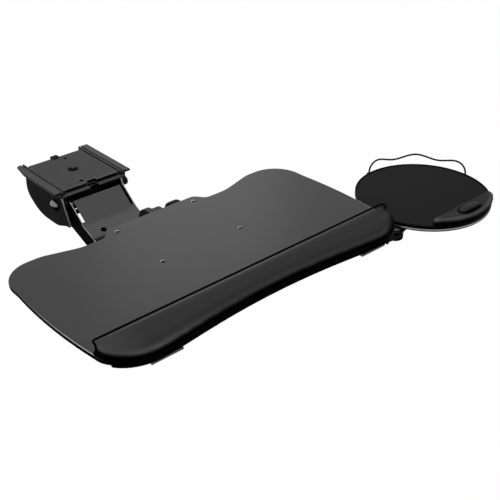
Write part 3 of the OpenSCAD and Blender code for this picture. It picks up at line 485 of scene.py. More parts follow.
@dataclass(frozen=True)
class Cloth(Finish):
    """The mouse pad's woven top: two crossing sets of threads and a little fuzz."""

    def layers(self, shader: Shader) -> list[Layer]:
        """Makes warp and weft of one thread each per grain length, the fuzz and broad clouds.

        Args:
            shader: the node tree in the making.

        Returns:
            The layers.
        """
        weave = shader.threads(self.grain, "X").larger(shader.threads(self.grain, "Y"))
        return [Layer(weave, tint=0.4, relief=0.7),
                Layer(shader.noise(0.4 * MM, detail=1.0), tint=0.35, rough=0.1, relief=0.3),
                Layer(shader.noise(35 * MM, detail=3.0), tint=0.25)]


class Look(Enum):
    """The tray's finishes."""

    # The edge values are the greys of each finish's painted edge highlight.
    PLATE = PowderCoat("grey_powder_coat", "frame_paint", (0.054, 0.054, 0.055),
                       roughness=0.55, specular=0.02, edge=0.09)
    # Painted shade: a darker copy of the frame paint for the swivel bracket and the link.
    FRAME = PowderCoat("shaded_powder_coat", "frame_paint", (0.030, 0.030, 0.0306),
                       roughness=0.45, specular=0.01, edge=0.26)
    # Painted shade: a near-black copy of the frame paint for the arm's plates and bars, whose sides lie in
    # shade.
    ARM = PowderCoat("shade_black_powder_coat", "frame_paint", (0.004, 0.004, 0.0041),
                     roughness=0.45, specular=0.004, edge=0.26)
    # Painted light: a lighter copy of the frame paint for the arm's cover.
    COVER = PowderCoat("lit_cover_powder_coat", "frame_paint", (0.098, 0.098, 0.099),
                       roughness=0.5, specular=0.03, edge=0.34)
    # Painted shade: near-black for the mouse bracket and arm under the board.
    BLACK = PowderCoat("shade_black_enamel", "frame_paint", (0.005, 0.005, 0.0051),
                       roughness=0.4, specular=0.015, edge=0.02)
    # Painted shade: black for the sides of the swivel bolt and the shaft caps.
    SHADE_BLACK = PowderCoat("shade_black_bolt", "frame_paint", (0.004, 0.004, 0.0041), roughness=0.3, specular=0.006)
    STEEL = BareSteel("turned_steel", "steel", (0.36, 0.36, 0.367), roughness=0.34)
    # Painted highlight: bright metal for the upper half of the shaft caps.
    CAP_HIGHLIGHT = BareSteel("highlight_cap_steel", "steel", (0.20, 0.20, 0.204), roughness=0.3)
    # Painted shade: black screw tips, so that the board's holes read dark.
    SCREW = Finish("hole_shade_screw", "steel", (0.006, 0.006, 0.0061), roughness=0.4, specular=0.02)
    RIM = BareSteel("satin_rim", "black_plastic", (0.24, 0.24, 0.243), roughness=0.3)
    NYLON = Finish("natural_nylon", "nylon", (0.62, 0.61, 0.57), roughness=0.5, specular=0.4)
    PLASTIC = Finish("black_moulded_plastic", "black_plastic", (0.012, 0.012, 0.0123),
                     roughness=0.42, specular=0.02, edge=0.05)
    GLOSS = Finish("gloss_black_plastic", "black_plastic", (0.010, 0.010, 0.0103),
                   roughness=0.22, specular=0.7, edge=0.03)
    KNOB = Finish("black_knob_plastic", "black_plastic", (0.005, 0.005, 0.0052),
                  roughness=0.42, specular=0.015, edge=0.012)
    # Painted shade: the palm base is near-black, as its front lies in shade.
    LIP = Finish("shade_black_base_plastic", "black_plastic", (0.003, 0.003, 0.003), roughness=0.55, specular=0.004)
    GLIDE = Finish("grey_glide_plastic", "black_plastic", (0.055, 0.055, 0.056),
                   roughness=0.45, specular=0.04, edge=0.09)
    BOARD = Laminate("board_laminate_face", "board_laminate", (0.051, 0.051, 0.0515),
                     roughness=0.33, specular=0.05, grain=0.9 * MM, relief=0.02 * MM, edge=0.58)
    CORE = Finish("black_board_core", "board_laminate", (0.003, 0.003, 0.003), roughness=0.6, specular=0.004)
    PALM = Vinyl("palm_vinyl", "palm_cover", (0.026, 0.026, 0.0264), roughness=0.5, specular=0.03,
                 grain=1.5 * MM, relief=0.06 * MM, variation=0.16, edge=0.24)
    # Painted shade: a black cord along the palm rest's rear edge.
    SHADE_PIPING = Finish("shade_black_piping", "palm_cover", (0.003, 0.003, 0.003), roughness=0.6, specular=0.004)
    CLOTH = Cloth("mouse_pad_cloth", "pad_cloth", (0.018, 0.018, 0.0185), roughness=0.9, specular=0.02,
                  grain=0.9 * MM, relief=0.08 * MM, variation=0.2)
    WRIST = Vinyl("wrist_rest_skin", "wrist_skin", (0.019, 0.019, 0.0194), roughness=0.42, specular=0.03,
                  grain=1.1 * MM, relief=0.03 * MM, edge=0.17)
    GEL = Vinyl("gel_skin", "wrist_skin", (0.030, 0.030, 0.0306), roughness=0.42, specular=0.03,
                grain=1.1 * MM, relief=0.03 * MM)
    WIRE = PowderCoat("black_wire_coat", "guard_wire", (0.006, 0.006, 0.0063), roughness=0.35, specular=0.04)


# Meshes

def link(made: bpy.types.Object) -> bpy.types.Object:
    """Puts an object into the scene."""
    bpy.context.scene.collection.objects.link(made)
    return made


def evaluated(piece: bpy.types.Object) -> bpy.types.Object:
    """A piece with its modifiers worked out."""
    return piece.evaluated_get(bpy.context.evaluated_depsgraph_get())


def new_object(name: str, bm: bmesh.types.BMesh, look: Look) -> bpy.types.Object:
    """Makes a smooth object of a bmesh, which is freed.

    Args:
        name: the piece's name.
        bm: the finished mesh.
        look: the piece's finish.

    Returns:
        The object, at the origin, with its material.
    """
    mesh = bpy.data.meshes.new(name)
    bm.to_mesh(mesh)
    bm.free()
    for polygon in mesh.polygons:
        polygon.use_smooth = True
    mesh.materials.append(look.value.material())
    return link(bpy.data.objects.new(name, mesh))


def taken(holder: bpy.types.Object) -> bmesh.types.BMesh:
    """Takes the finished mesh of an object that is only a step on the way, and removes the object.

    Args:
        holder: the object.

    Returns:
        Its mesh, with its modifiers worked out.
    """
    mesh = bpy.data.meshes.new_from_object(evaluated(holder))
    bpy.data.batch_remove((holder, holder.data))
    bm = bmesh.new()
    bm.from_mesh(mesh)
    bpy.data.meshes.remove(mesh)
    return bm


def close_up(bm: bmesh.types.BMesh) -> None:
    """Merges a mesh's doubles and turns its faces outwards."""
    bmesh.ops.remove_doubles(bm, verts=bm.verts, dist=MERGE)
    bmesh.ops.recalc_face_normals(bm, faces=bm.faces)


def settle(piece: bpy.types.Object, body: str, look: Look, *nodes: str) -> bpy.types.Object:
    """Puts a piece on its body in place of CAD nodes.

    Args:
        piece: the finished piece.
        body: the CAD body it moves with.
        look: not used.
        nodes: the CAD nodes it stands for.

    Returns:
        The same piece.
    """
    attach(piece, body)
    if nodes:
        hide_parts(*nodes)
    LOG.info("%s rides on %s", piece.name, body)
    return piece


def eased_step(value: float, low: float, high: float) -> float:
    """0 below low, 1 above high, with a smooth rise between them."""
    share = min(1.0, max(0.0, (value - low) / (high - low)))
    return share * share * (3 - 2 * share)


def platform_reach(place: Vector) -> float:
    """How far a place is from the mouse platform's axis."""
    return math.hypot(place.x - PLATFORM_X, place.y - PLATFORM_Y)


def merged(node: str) -> bmesh.types.BMesh:
    """Copies a CAD node's mesh and merges its loose triangles.

    Args:
        node: the CAD node.

    Returns:
        The copy.
    """
    bm = bmesh.new()
    bm.from_mesh(frame["nodes"][node].data)
    bmesh.ops.remove_doubles(bm, verts=bm.verts, dist=MERGE)
    return bm


def tube(name: str, path: Sequence[Vector], radius: float, look: Look, sides: int = 12) -> bpy.types.Object:
    """Draws a smooth round wire along a path, as a curve that is turned into a mesh.

    Args:
        name: the piece's name.
        path: the points of the wire's middle.
        radius: the wire's radius.
        look: its finish.
        sides: the number of faces around it.

    Returns:
        The wire as a mesh object.
    """
    curve = bpy.data.curves.new(name, "CURVE")
    curve.dimensions = "3D"
    curve.bevel_depth = radius
    curve.bevel_resolution = sides // 4
    curve.use_fill_caps = True
    spline = curve.splines.new("POLY")
    spline.points.add(len(path) - 1)
    for point, place in zip(spline.points, path):
        point.co = (*place, 1)
    bm = taken(link(bpy.data.objects.new(name, curve)))
    close_up(bm)
    return new_object(name, bm, look)


@dataclass
class Eased:
    """A CAD node shown with its sharp edges rounded, as bent and moulded parts have them.

    Faces that turn by less than flat are joined first, and edges that turn by more than sharp are rounded.
    """

    node: str
    look: Look
    width: float = 0.4 * MM
    segments: int = 2
    sharp: float = math.radians(38)
    flat: float = math.radians(0.4)

    def build(self, body: str) -> bpy.types.Object:
        """Rounds the edges of a merged copy and puts it in the node's place.

        Args:
            body: the CAD body it moves with.

        Returns:
            The new piece.
        """
        bm = merged(self.node)
        bmesh.ops.dissolve_limit(bm, angle_limit=self.flat, verts=bm.verts, edges=bm.edges)
        edge = bm.faces.layers.float.new("edge")
        edges = [e for e in bm.edges if len(e.link_faces) == 2 and e.calc_face_angle(0.0) > self.sharp]
        eased = bmesh.ops.bevel(bm, geom=edges, offset=self.width, offset_type="OFFSET", affect="EDGES",
                                segments=self.segments, profile=0.5, material=-1,
                                clamp_overlap=False, loop_slide=True)
        # Painted highlight: every rounded face gets the full edge grey.
        for face in eased["faces"]:
            face[edge] = 1.0
        self.mark(bm, edge)
        bmesh.ops.dissolve_degenerate(bm, dist=MERGE, edges=bm.edges)
        piece = new_object(self.node + "_eased", bm, self.look)
        piece.data.set_sharp_from_angle(angle=self.sharp)
        even = piece.modifiers.new("even_shading", "WEIGHTED_NORMAL")
        even.keep_sharp = True
        return settle(piece, body, self.look, self.node)

    def mark(self, bm: bmesh.types.BMesh, edge: bmesh.types.BMLayerItem) -> None:
        """A plain piece has the painted highlight on its rounded edges alone."""


@dataclass
class CutSheet(Eased):
    """A piece of cut sheet whose cut edges beyond a distance from the middle carry the full painted
    highlight.

    The cut edges are those of a sheet that stands face left or right by less than along, and those of a sheet
    that lies flat by more than across. The other rounded edges have the share rest of the painted highlight.
    """

    rim_from: float = 0.0
    lies: bool = False
    rest: float = 1.0
    along: float = 0.35
    across: float = 0.6

    def mark(self, bm: bmesh.types.BMesh, edge: bmesh.types.BMLayerItem) -> None:
        """Paints the full highlight on the cut edges, and the other rounded edges' highlight by their share.

        Args:
            bm: the rounded mesh.
            edge: the layer of the wear.
        """
        for face in bm.faces:
            sideways = abs(face.normal.x)
            cut = sideways > self.across if self.lies else sideways < self.along
            # Painted highlight: the cut edges get the full edge grey.
            lit_cut = cut and abs(face.calc_center_median().x) > self.rim_from
            face[edge] = 1.0 if lit_cut else face[edge] * self.rest


@dataclass
class Panel(Eased):
    """A piece whose sides show another finish."""

    sides: Look = Look.CORE
    upright: float = 0.35

    def build(self, body: str) -> bpy.types.Object:
        """Builds the piece and adds the finish of its sides.

        Args:
            body: the CAD body it moves with.

        Returns:
            The new piece.
        """
        piece = super().build(body)
        piece.data.materials.append(self.sides.value.material())
        return piece

    def mark(self, bm: bmesh.types.BMesh, edge: bmesh.types.BMLayerItem) -> None:
        """Gives the sides their finish.

        Args:
            bm: the rounded mesh.
            edge: the layer of the wear.
        """
        for face in bm.faces:
            if self.is_side(face):
                face.material_index = SECOND

    def is_side(self, face: bmesh.types.BMFace) -> bool:
        """Whether a face stands upright or hangs over."""
        return face.normal.z < self.upright


@dataclass
class Board(Panel):
    """The board, whose edge has a painted highlight that grows towards the front, and whose screw holes have
    a painted glint on their rear rims.

    Its painted highlight begins and is full at the distances painted_sheen in front of the swivel, and is
    least elsewhere. Within hole_r of a screw's axis, a rounded edge is a hole's rim.
    """

    head_r: float = 4.75 * MM
    hole_r: float = 3.9 * MM
    painted_sheen: Span = (290 * MM, 430 * MM)
    least: float = 0.1

    def mark(self, bm: bmesh.types.BMesh, edge: bmesh.types.BMLayerItem) -> None:
        """Gives the sides their finish, the round edge its painted highlight, and the holes' front rims the
        core's black as painted shade.

        Args:
            bm: the rounded mesh.
            edge: the layer of the wear.
        """
        super().mark(bm, edge)
        low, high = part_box("board_screws")
        axes = [(x, y) for x in (low.x + self.head_r, high.x - self.head_r)
                for y in (low.y + self.head_r, high.y - self.head_r)]
        for face in [f for f in bm.faces if f[edge]]:
            middle = face.calc_center_median()
            if min(math.hypot(middle.x - x, middle.y - y) for x, y in axes) > self.hole_r:
                # Painted highlight along the board's edge, full towards the front.
                sheen_share = eased_step(-middle.y, *self.painted_sheen) if face.normal.z > 0 else 0.0
                face[edge] = self.least + (1 - self.least) * sheen_share
            # Painted shade on the holes' front rims; their rear rims keep the full grey as a painted glint.
            elif face.normal.y > 0:
                face.material_index = SECOND

    def is_side(self, face: bmesh.types.BMFace) -> bool:
        """Whether a face stands upright; the underside is laminate too."""
        return abs(face.normal.z) < self.upright


@dataclass
class Cushion:
    """A padded piece that is blown up by a cloth simulation from a CAD node's shape.

    It starts inside the node's skin by shrink, and a point is blown outwards by cap at most. Points less than
    pinned voxels above the base stay in place, and those less than held above it aren't smoothed. The top
    panel begins over panel_slope, below which the skin is painted black as shade, and the roll round it,
    which gets a painted highlight by the share crest, ends over crest_slope.
    """

    node: str
    look: Look
    voxel: float
    shrink: float
    cap: float
    fill: float
    panel_slope: Span = (0.22, 0.42)
    crest_slope: Span = (0.55, 0.96)
    crest: float = 1.0
    pressure: float = 4.0
    frames: int = 20
    smoothing: int = 8
    softness: float = 0.5
    evening: int = 4
    held: float = 0.5 * MM
    pinned: float = 0.4

    def build(self, body: str) -> bpy.types.Object:
        """Remeshes, inflates and smooths a copy of the node, and puts it in the node's place.

        Args:
            body: the CAD body it moves with.

        Returns:
            The new piece.
        """
        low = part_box(self.node)[0].z
        piece = self._remeshed(low)
        self._inflate(piece)
        bm = bmesh.new()
        bm.from_mesh(piece.data)
        bm.normal_update()
        self.sculpt(bm)
        loose = [v for v in bm.verts if v.co.z > low + self.held]
        for _ in range(self.smoothing):
            bmesh.ops.smooth_vert(bm, verts=loose, factor=self.softness,
                                  use_axis_x=True, use_axis_y=True, use_axis_z=True)
        for vert in bm.verts:
            vert.co.z = max(vert.co.z, low)
        bm.normal_update()
        self._mark(bm)
        bm.to_mesh(piece.data)
        bm.free()
        round_off = piece.modifiers.new("round_off", "SUBSURF")
        round_off.levels = round_off.render_levels = 1
        return settle(piece, body, self.look, self.node)

    def _mark(self, bm: bmesh.types.BMesh) -> None:
        """Sets the attributes panel, for the top against the painted side shade, and edge, for the painted
        highlight on its roll, and evens them out.

        Args:
            bm: the finished mesh.
        """
        layers = bm.verts.layers.float
        for name in ("panel", "edge"):
            layers.new(name)
        panel, painted_sheen = layers["panel"], layers["edge"]
        for vert in bm.verts:
            # Painted shade off the panel, painted highlight on the roll.
            vert[panel] = self.panel_at(vert)
            vert[painted_sheen] = vert[panel] * self.crest_at(vert)
        for layer in (panel, painted_sheen):
            for _ in range(self.evening):
                means = [sum(e.other_vert(v)[layer] for e in v.link_edges) / len(v.link_edges)
                         for v in bm.verts]
                for vert, mean in zip(bm.verts, means):
                    vert[layer] = (vert[layer] + mean) / 2

    def sculpt(self, bm: bmesh.types.BMesh) -> None:
        """A plain cushion keeps the shape that it was blown to."""

    def panel_at(self, vert: bmesh.types.BMVert) -> float:
        """How far a point belongs to the top panel, by its slope; steeper points get the painted side shade.
        """
        return eased_step(vert.normal.z, *self.panel_slope)

    def crest_at(self, vert: bmesh.types.BMVert) -> float:
        """How much painted highlight a point of the roll round the top gets."""
        return self.crest * (1 - eased_step(vert.normal.z, *self.crest_slope))

    def _remeshed(self, low: float) -> bpy.types.Object:
        """Makes a slightly smaller copy of the node with an even mesh.

        Args:
            low: the height of the base, which stays where it is.

        Returns:
            The copy.
        """
        bm = merged(self.node)
        bm.normal_update()
        for vert in bm.verts:
            vert.co -= vert.normal * self.shrink
            vert.co.z = max(vert.co.z, low)
        coarse = new_object(self.node + "_coarse", bm, self.look)
        even = coarse.modifiers.new("even", "REMESH")
        even.mode = "VOXEL"
        even.voxel_size = self.voxel
        return new_object(self.node + "_cushion", taken(coarse), self.look)

    def _inflate(self, piece: bpy.types.Object) -> None:
        """Runs the cloth on a pinned base, then keeps each point within the cap of where it began.

        Args:
            piece: the remeshed piece.
        """
        scene = bpy.context.scene
        start = [v.co.copy() for v in piece.data.vertices]
        top = min(place.z for place in start) + self.pinned * self.voxel
        base = piece.vertex_groups.new(name="base")
        base.add([i for i, place in enumerate(start) if place.z < top], 1.0, "REPLACE")
        cloth = piece.modifiers.new("inflate", "CLOTH")
        cloth.point_cache.frame_start, cloth.point_cache.frame_end = 1, self.frames
        cloth.settings.use_pressure = True
        cloth.settings.uniform_pressure_force = self.pressure
        cloth.settings.effector_weights.gravity = 0.0
        cloth.settings.vertex_group_mass = "base"
        for step in range(1, self.frames + 1):
            scene.frame_set(step)
        blown = [v.co.copy() for v in evaluated(piece).data.vertices]
        piece.modifiers.clear()
        piece.vertex_groups.clear()
        scene.frame_set(1)
        for vert, was, now in zip(piece.data.vertices, start, blown):
            moved = now - was
            vert.co = was + moved * (self.cap / max(moved.length, self.cap))


# Sub-assemblies

@dataclass
class SubAssembly:
    """The pieces that ride on one body: CAD nodes with eased edges, and nodes shown as they are."""

    body: str
    eased: tuple[Eased, ...] = ()
    plain: tuple[tuple[Look, tuple[str, ...]], ...] = ()

    def build(self) -> None:
        """Builds the pieces of this body."""
        for part in self.eased:
            part.build(self.body)
        self.dress()

    def dress(self) -> None:
        """Gives the nodes that stay their finish."""
        for look, nodes in self.plain:
            for node in nodes:
                for place in frame["nodes"][node].material_slots:
                    place.link = "OBJECT"
                    place.material = look.value.material()
                LOG.info("%s keeps its CAD shape", node)


@dataclass
class LiftSpring(SubAssembly):
    """The swivel bracket's pieces and the torsion spring between the bracket and the arm.

    One end stands under the bracket at foot_z, and the leg follows the arm's slope. The pivot is (y, z).
    """

    wire: float = 4 * MM
    sides: int = 12
    coil_r: float = 10.5 * MM
    coil_len: float = 50 * MM
    turns: int = 9
    steps: int = 20
    pivot: Span = (-34 * MM, -33.4 * MM)
    foot_z: float = -15.3 * MM
    leg: float = 63 * MM
    slope: float = math.atan2(52, 130)

    def build(self) -> None:
        """Builds the bracket's pieces, then winds the spring with a spin along its axis."""
        super().build()
        bm = bmesh.new()
        start = Vector((-self.coil_len / 2, self.pivot[0] + self.coil_r, self.pivot[1]))
        ring = bmesh.ops.create_circle(bm, segments=self.sides, radius=self.wire / 2)["verts"]
        bmesh.ops.translate(bm, verts=ring, vec=start)
        edges = list({e for v in ring for e in v.link_edges})
        self._extend(bm, edges, Vector((0, 0, self.foot_z - start.z)))
        total = 2 * math.pi * self.turns + math.pi / 2 - self.slope
        count = round(self.steps * total / (2 * math.pi))
        wound = bmesh.ops.spin(bm, geom=ring + edges, cent=(0, *self.pivot), axis=(-1, 0, 0),
                               dvec=(self.coil_len / count, 0, 0), angle=total, steps=count, use_merge=False)
        last = [g for g in wound["geom_last"] if isinstance(g, bmesh.types.BMEdge)]
        along = Vector((0, -math.cos(self.slope), -math.sin(self.slope)))
        self._extend(bm, last, along * self.leg)
        bmesh.ops.holes_fill(bm, edges=[e for e in bm.edges if e.is_boundary], sides=0)
        close_up(bm)
        spring = new_object("lift_spring_wound", bm, Look.STEEL)
        end = self.coil_len / 2
        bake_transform(spring, "swivel", "arm", start=(-end, *self.pivot), end=(end, *self.pivot))
        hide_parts("lift_spring")
        LOG.info("%s bends between swivel and arm", spring.name)

    @staticmethod
    def _extend(bm: bmesh.types.BMesh, edges: list[bmesh.types.BMEdge], by: Vector) -> None:
        """Draws a ring of edges out into a straight leg."""
        grown = bmesh.ops.extrude_edge_only(bm, edges=edges)["geom"]
        bmesh.ops.translate(bm, verts=[g for g in grown if isinstance(g, bmesh.types.BMVert)], vec=by)


@dataclass
class PalmCushion(Cushion):
    """The palm rest, whose ends stand steeply.

    Each level of the ends is drawn out from steep_from towards end_x, by the factor most at the most. The top
    panel's lower line is at line_z and rises by line_rise from bend_x on; below it the skin is painted black
    as shade. The rear and the right end's roll are painted black as shade over their slopes. The roll gets a
    painted highlight over roll_slope, which fades along rubs_and_sheen to sheen_least, and the left end, from
    end_sheen_from on, gets end_sheen of it at least.
    """

    steep_from: float = 236 * MM
    end_x: float = 254 * MM
    level: float = 1.5 * MM
    most: float = 2.6
    line_z: float = 12.9 * MM
    line_rise: float = 3.1 * MM
    line_soft: float = 2.2 * MM
    bend_x: float = 215 * MM
    rear_slope: Span = (0.5, 0.8)
    right_slope: Span = (0.12, 0.3)
    roll_slope: Span = (0.05, 0.3)
    rubs_and_sheen: Span = (-225 * MM, -70 * MM)
    sheen_least: float = 0.35
    end_sheen: float = 0.14
    end_sheen_from: float = 190 * MM

    def sculpt(self, bm: bmesh.types.BMesh) -> None:
        """Draws the ends out level by level, so that each level ends in nearly the same place.

        Args:
            bm: the blown mesh.
        """
        reach: dict[int, float] = {}
        for vert in bm.verts:
            row = round(vert.co.z / self.level)
            reach[row] = max(reach.get(row, 0.0), abs(vert.co.x))
        for vert in bm.verts:
            past = abs(vert.co.x) - self.steep_from
            if past > 0:
                room = reach[round(vert.co.z / self.level)] - self.steep_from
                pull = min(self.most, (self.end_x - self.steep_from) / room)
                vert.co.x = math.copysign(self.steep_from + past * pull, vert.co.x)

    def panel_at(self, vert: bmesh.types.BMVert) -> float:
        """The panel ends at one height, which rises to the ends; below it, and on the rear and the right
        end's roll, the skin is painted black as shade.

        Args:
            vert: a point of the skin.

        Returns:
            How far the point belongs to the top panel.
        """
        # Painted shade below the line and on the rear and right-end rolls.
        line = self.line_z + self.line_rise * eased_step(abs(vert.co.x), self.bend_x, self.end_x)
        black = max(eased_step(vert.normal.y, *self.rear_slope), eased_step(vert.normal.x, *self.right_slope))
        return eased_step(vert.co.z, line, line + self.line_soft) * (1 - black)

    def crest_at(self, vert: bmesh.types.BMVert) -> float:
        """The front roll and the left end get the most painted highlight, the rear edge none.

        Args:
            vert: a point of the skin.

        Returns:
            How much painted highlight the point gets.
        """
        # Painted highlight, strongest at the left end and fading to the right.
        fading = 1 - (1 - self.sheen_least) * eased_step(vert.co.x, *self.rubs_and_sheen)
        outwards = eased_step(max(-vert.normal.y, abs(vert.normal.x)), *self.roll_slope)
        end = self.end_sheen * eased_step(-vert.co.x, self.end_sheen_from, self.end_x)
        return max(fading * outwards * super().crest_at(vert), end)


@dataclass
class BoardAndPalm(SubAssembly):
    """The board, its palm rest and what is screwed under them.

    The piping, a black cord laid as painted shade along the rest's rear edge, runs along rear_y at edge_z,
    turns by corner at both ends and comes down to base_z.
    """

    rear_y: float = -449.1 * MM
    end_x: float = 253.5 * MM
    corner: float = 4 * MM
    turn_steps: int = 9
    edge_z: float = 24.4 * MM
    base_z: float = 10 * MM
    piping_r: float = 1.5 * MM

    def build(self) -> None:
        """Builds the board's pieces, the palm cushion and its piping of painted shade."""
        super().build()
        PalmCushion("palm_rest", Look.PALM, voxel=2.6 * MM, shrink=0.7 * MM, cap=1.1 * MM,
                    fill=0.9).build(self.body)
        # Painted shade: a black cord along the rest's rear edge.
        piping = tube("palm_shade_piping", self._shade_piping(), self.piping_r, Look.SHADE_PIPING)
        settle(piping, self.body, Look.SHADE_PIPING)

    def _shade_piping(self) -> list[Vector]:
        """Leads the piping along the palm rest's rear edge, round its corners and down.

        Returns:
            The points of the piping's middle, from left to right.
        """
        turn = [math.radians(90 * k / self.turn_steps) for k in range(self.turn_steps + 1)]
        right = [Vector((self.end_x - self.corner * (1 - math.sin(a)),
                         self.rear_y - self.corner * (1 - math.cos(a)), self.edge_z)) for a in turn]
        right += [Vector((self.end_x, self.rear_y - self.corner * (1 + math.sin(a)),
                          self.edge_z - self.corner * (1 - math.cos(a)))) for a in turn[1:]]
        right.append(Vector((self.end_x, self.rear_y - 2 * self.corner, self.base_z)))
        return [Vector((-p.x, p.y, p.z)) for p in reversed(right)] + right


@dataclass
class Tray(Panel):
    """The platform's tray, whose outer wall is a satin metal band.

    The wall lies outside wall_r. Points within cut of the band's lower line lie on it.
    """

    upright: float = 0.6
    wall_r: float = 105 * MM
    band_top: float = -16.7 * MM
    band_low: float = -18.9 * MM
    cut: float = 0.001 * MM

    def mark(self, bm: bmesh.types.BMesh, edge: bmesh.types.BMLayerItem) -> None:
        """Cuts the wall along the band's lower line and gives the band its finish.

        Args:
            bm: the rounded mesh.
            edge: the layer of the wear.
        """
        bmesh.ops.bisect_plane(bm, geom=bm.verts[:] + bm.edges[:] + bm.faces[:], dist=self.cut,
                               plane_co=(0, 0, self.band_low), plane_no=(0, 0, 1))
        bm.normal_update()
        super().mark(bm, edge)

    def is_side(self, face: bmesh.types.BMFace) -> bool:
        """Whether a face belongs to the outer wall, below its groove.

        Args:
            face: a face of the tray.

        Returns:
            True for a face of the band.
        """
        middle = face.calc_center_median()
        outside = platform_reach(middle) > self.wall_r and abs(face.normal.z) < self.upright
        return outside and self.band_low < middle.z < self.band_top


@dataclass
class WristCushion(Cushion):
    """The wrist rest, with a raised outer roll and a shallow basin inside it.

    The roll rises over roll_w to roll_r from the platform's axis. The basin begins over dip_slope, and the
    side that faces the axis is painted black as shade over inner_slope.
    """

    crest_slope: Span = (0.8, 0.98)
    roll_r: float = 102 * MM
    roll_w: float = 9 * MM
    dip: float = 1.6 * MM
    dip_slope: Span = (0.3, 0.8)
    inner_slope: Span = (0.25, 0.55)

    def on_roll(self, vert: bmesh.types.BMVert) -> float:
        """How far a point lies on the outer roll."""
        return eased_step(platform_reach(vert.co), self.roll_r - self.roll_w, self.roll_r)

    def sculpt(self, bm: bmesh.types.BMesh) -> None:
        """Presses the basin into the upper side."""
        for vert in bm.verts:
            vert.co.z -= self.dip * (1 - self.on_roll(vert)) * eased_step(vert.normal.z, *self.dip_slope)

    def panel_at(self, vert: bmesh.types.BMVert) -> float:
        """The side that faces the platform's middle is painted black as shade."""
        out = Vector((vert.co.x - PLATFORM_X, vert.co.y - PLATFORM_Y, 0)).normalized()
        # Painted shade on the inner side.
        return super().panel_at(vert) * (1 - eased_step(-out.dot(vert.normal), *self.inner_slope))

    def crest_at(self, vert: bmesh.types.BMVert) -> float:
        """The outer roll alone gets the painted highlight."""
        return self.on_roll(vert) * super().crest_at(vert)


@dataclass
class MousePlatform(SubAssembly):
    """The round platform with its cloth pad, wrist rest and guard wire.

    The wire is flat between steep ends, by the powers guard_flat and guard_steep. Its wave's length is a
    share of guard_span, which is half its span.
    """

    pad_r: float = 105.2 * MM
    pad_low: float = -14.9 * MM
    pad_top: float = -12.9 * MM
    pad_edge: float = 0.9 * MM
    edge_segments: int = 4
    pad_steps: int = 128
    guard_r: float = 111 * MM
    guard_foot: float = -16 * MM
    guard_h: float = 17 * MM
    guard_wave: float = 3.6 * MM
    guard_length: float = 0.84
    guard_angle: float = math.radians(46)
    guard_span: float = math.radians(46)
    guard_flat: int = 8
    guard_steep: float = 1 / 3
    guard_wire: float = 3 * MM
    guard_sides: int = 16
    guard_steps: int = 160

    def build(self) -> None:
        """Builds the platform's pieces, its pad, both cushions and the wire."""
        super().build()
        self._pad()
        # Painted shade on the wrist rest's sides and a painted highlight on its roll.
        WristCushion("wrist_rest", Look.WRIST, voxel=2.4 * MM, shrink=0.4 * MM, cap=0.6 * MM, fill=0.9,
                     panel_slope=(0.35, 0.55)).build(self.body)
        # Painted shade: the gel's sides are black.
        Cushion("wrist_gel", Look.GEL, voxel=1.6 * MM, shrink=0.5 * MM, cap=0.4 * MM, fill=1.0,
                panel_slope=(0.6, 0.85), crest=0.0).build(self.body)
        shares = [-math.cos(math.pi * k / self.guard_steps) for k in range(self.guard_steps + 1)]
        path = [self._guard_at(share) for share in shares]
        wire = tube("guard_wire_bent", path, self.guard_wire / 2, Look.WIRE, self.guard_sides)
        settle(wire, self.body, Look.WIRE, "wire_guard")

    def _pad(self) -> None:
        """Spins the pad's half section, with a rolled edge, round the platform's middle."""
        bm = bmesh.new()
        corners = ((0, self.pad_low), (self.pad_r, self.pad_low),
                   (self.pad_r, self.pad_top), (0, self.pad_top))
        profile = [bm.verts.new((x, 0, z)) for x, z in corners]
        for pair in zip(profile, profile[1:]):
            bm.edges.new(pair)
        bmesh.ops.bevel(bm, geom=[profile[2]], offset=self.pad_edge, offset_type="OFFSET", affect="VERTICES",
                        segments=self.edge_segments, profile=0.5, material=-1)
        bmesh.ops.spin(bm, geom=bm.verts[:] + bm.edges[:], cent=(0, 0, 0), axis=(0, 0, 1),
                       angle=2 * math.pi, steps=self.pad_steps, use_merge=True)
        close_up(bm)
        bmesh.ops.translate(bm, verts=bm.verts, vec=(PLATFORM_X, PLATFORM_Y, 0))
        pad = new_object("mouse_pad_sewn", bm, Look.CLOTH)
        settle(pad, self.body, Look.CLOTH, "mouse_pad")

    def _guard_at(self, share: float) -> Vector:
        """Finds a point of the guard wire.

        Args:
            share: the point's distance from the wire's middle, as a share of half its span.

        Returns:
            The point.
        """
        angle = self.guard_angle + self.guard_span * share
        arch = max(0.0, 1 - abs(share) ** self.guard_flat) ** self.guard_steep
        height = self.guard_h + self.guard_wave * math.cos(2 * math.pi * share / self.guard_length)
        return Vector((PLATFORM_X + self.guard_r * math.cos(angle),
                       PLATFORM_Y + self.guard_r * math.sin(angle), self.guard_foot + arch * height))


# Stage

@dataclass
class Softbox:
    """A square studio light that looks at a point."""

    name: str
    place: tuple[float, float, float]
    target: tuple[float, float, float]
    size: float
    power: float

    def build(self) -> None:
        """Hangs the light."""
        lamp = bpy.data.lights.new(self.name, "AREA")
        lamp.shape = "SQUARE"
        lamp.size = self.size
        lamp.energy = self.power
        made = link(bpy.data.objects.new(self.name, lamp))
        made.location = self.place
        made.visible_camera = False
        back = Vector(self.place) - Vector(self.target)
        made.rotation_euler = back.to_track_quat("Z", "Y").to_euler()


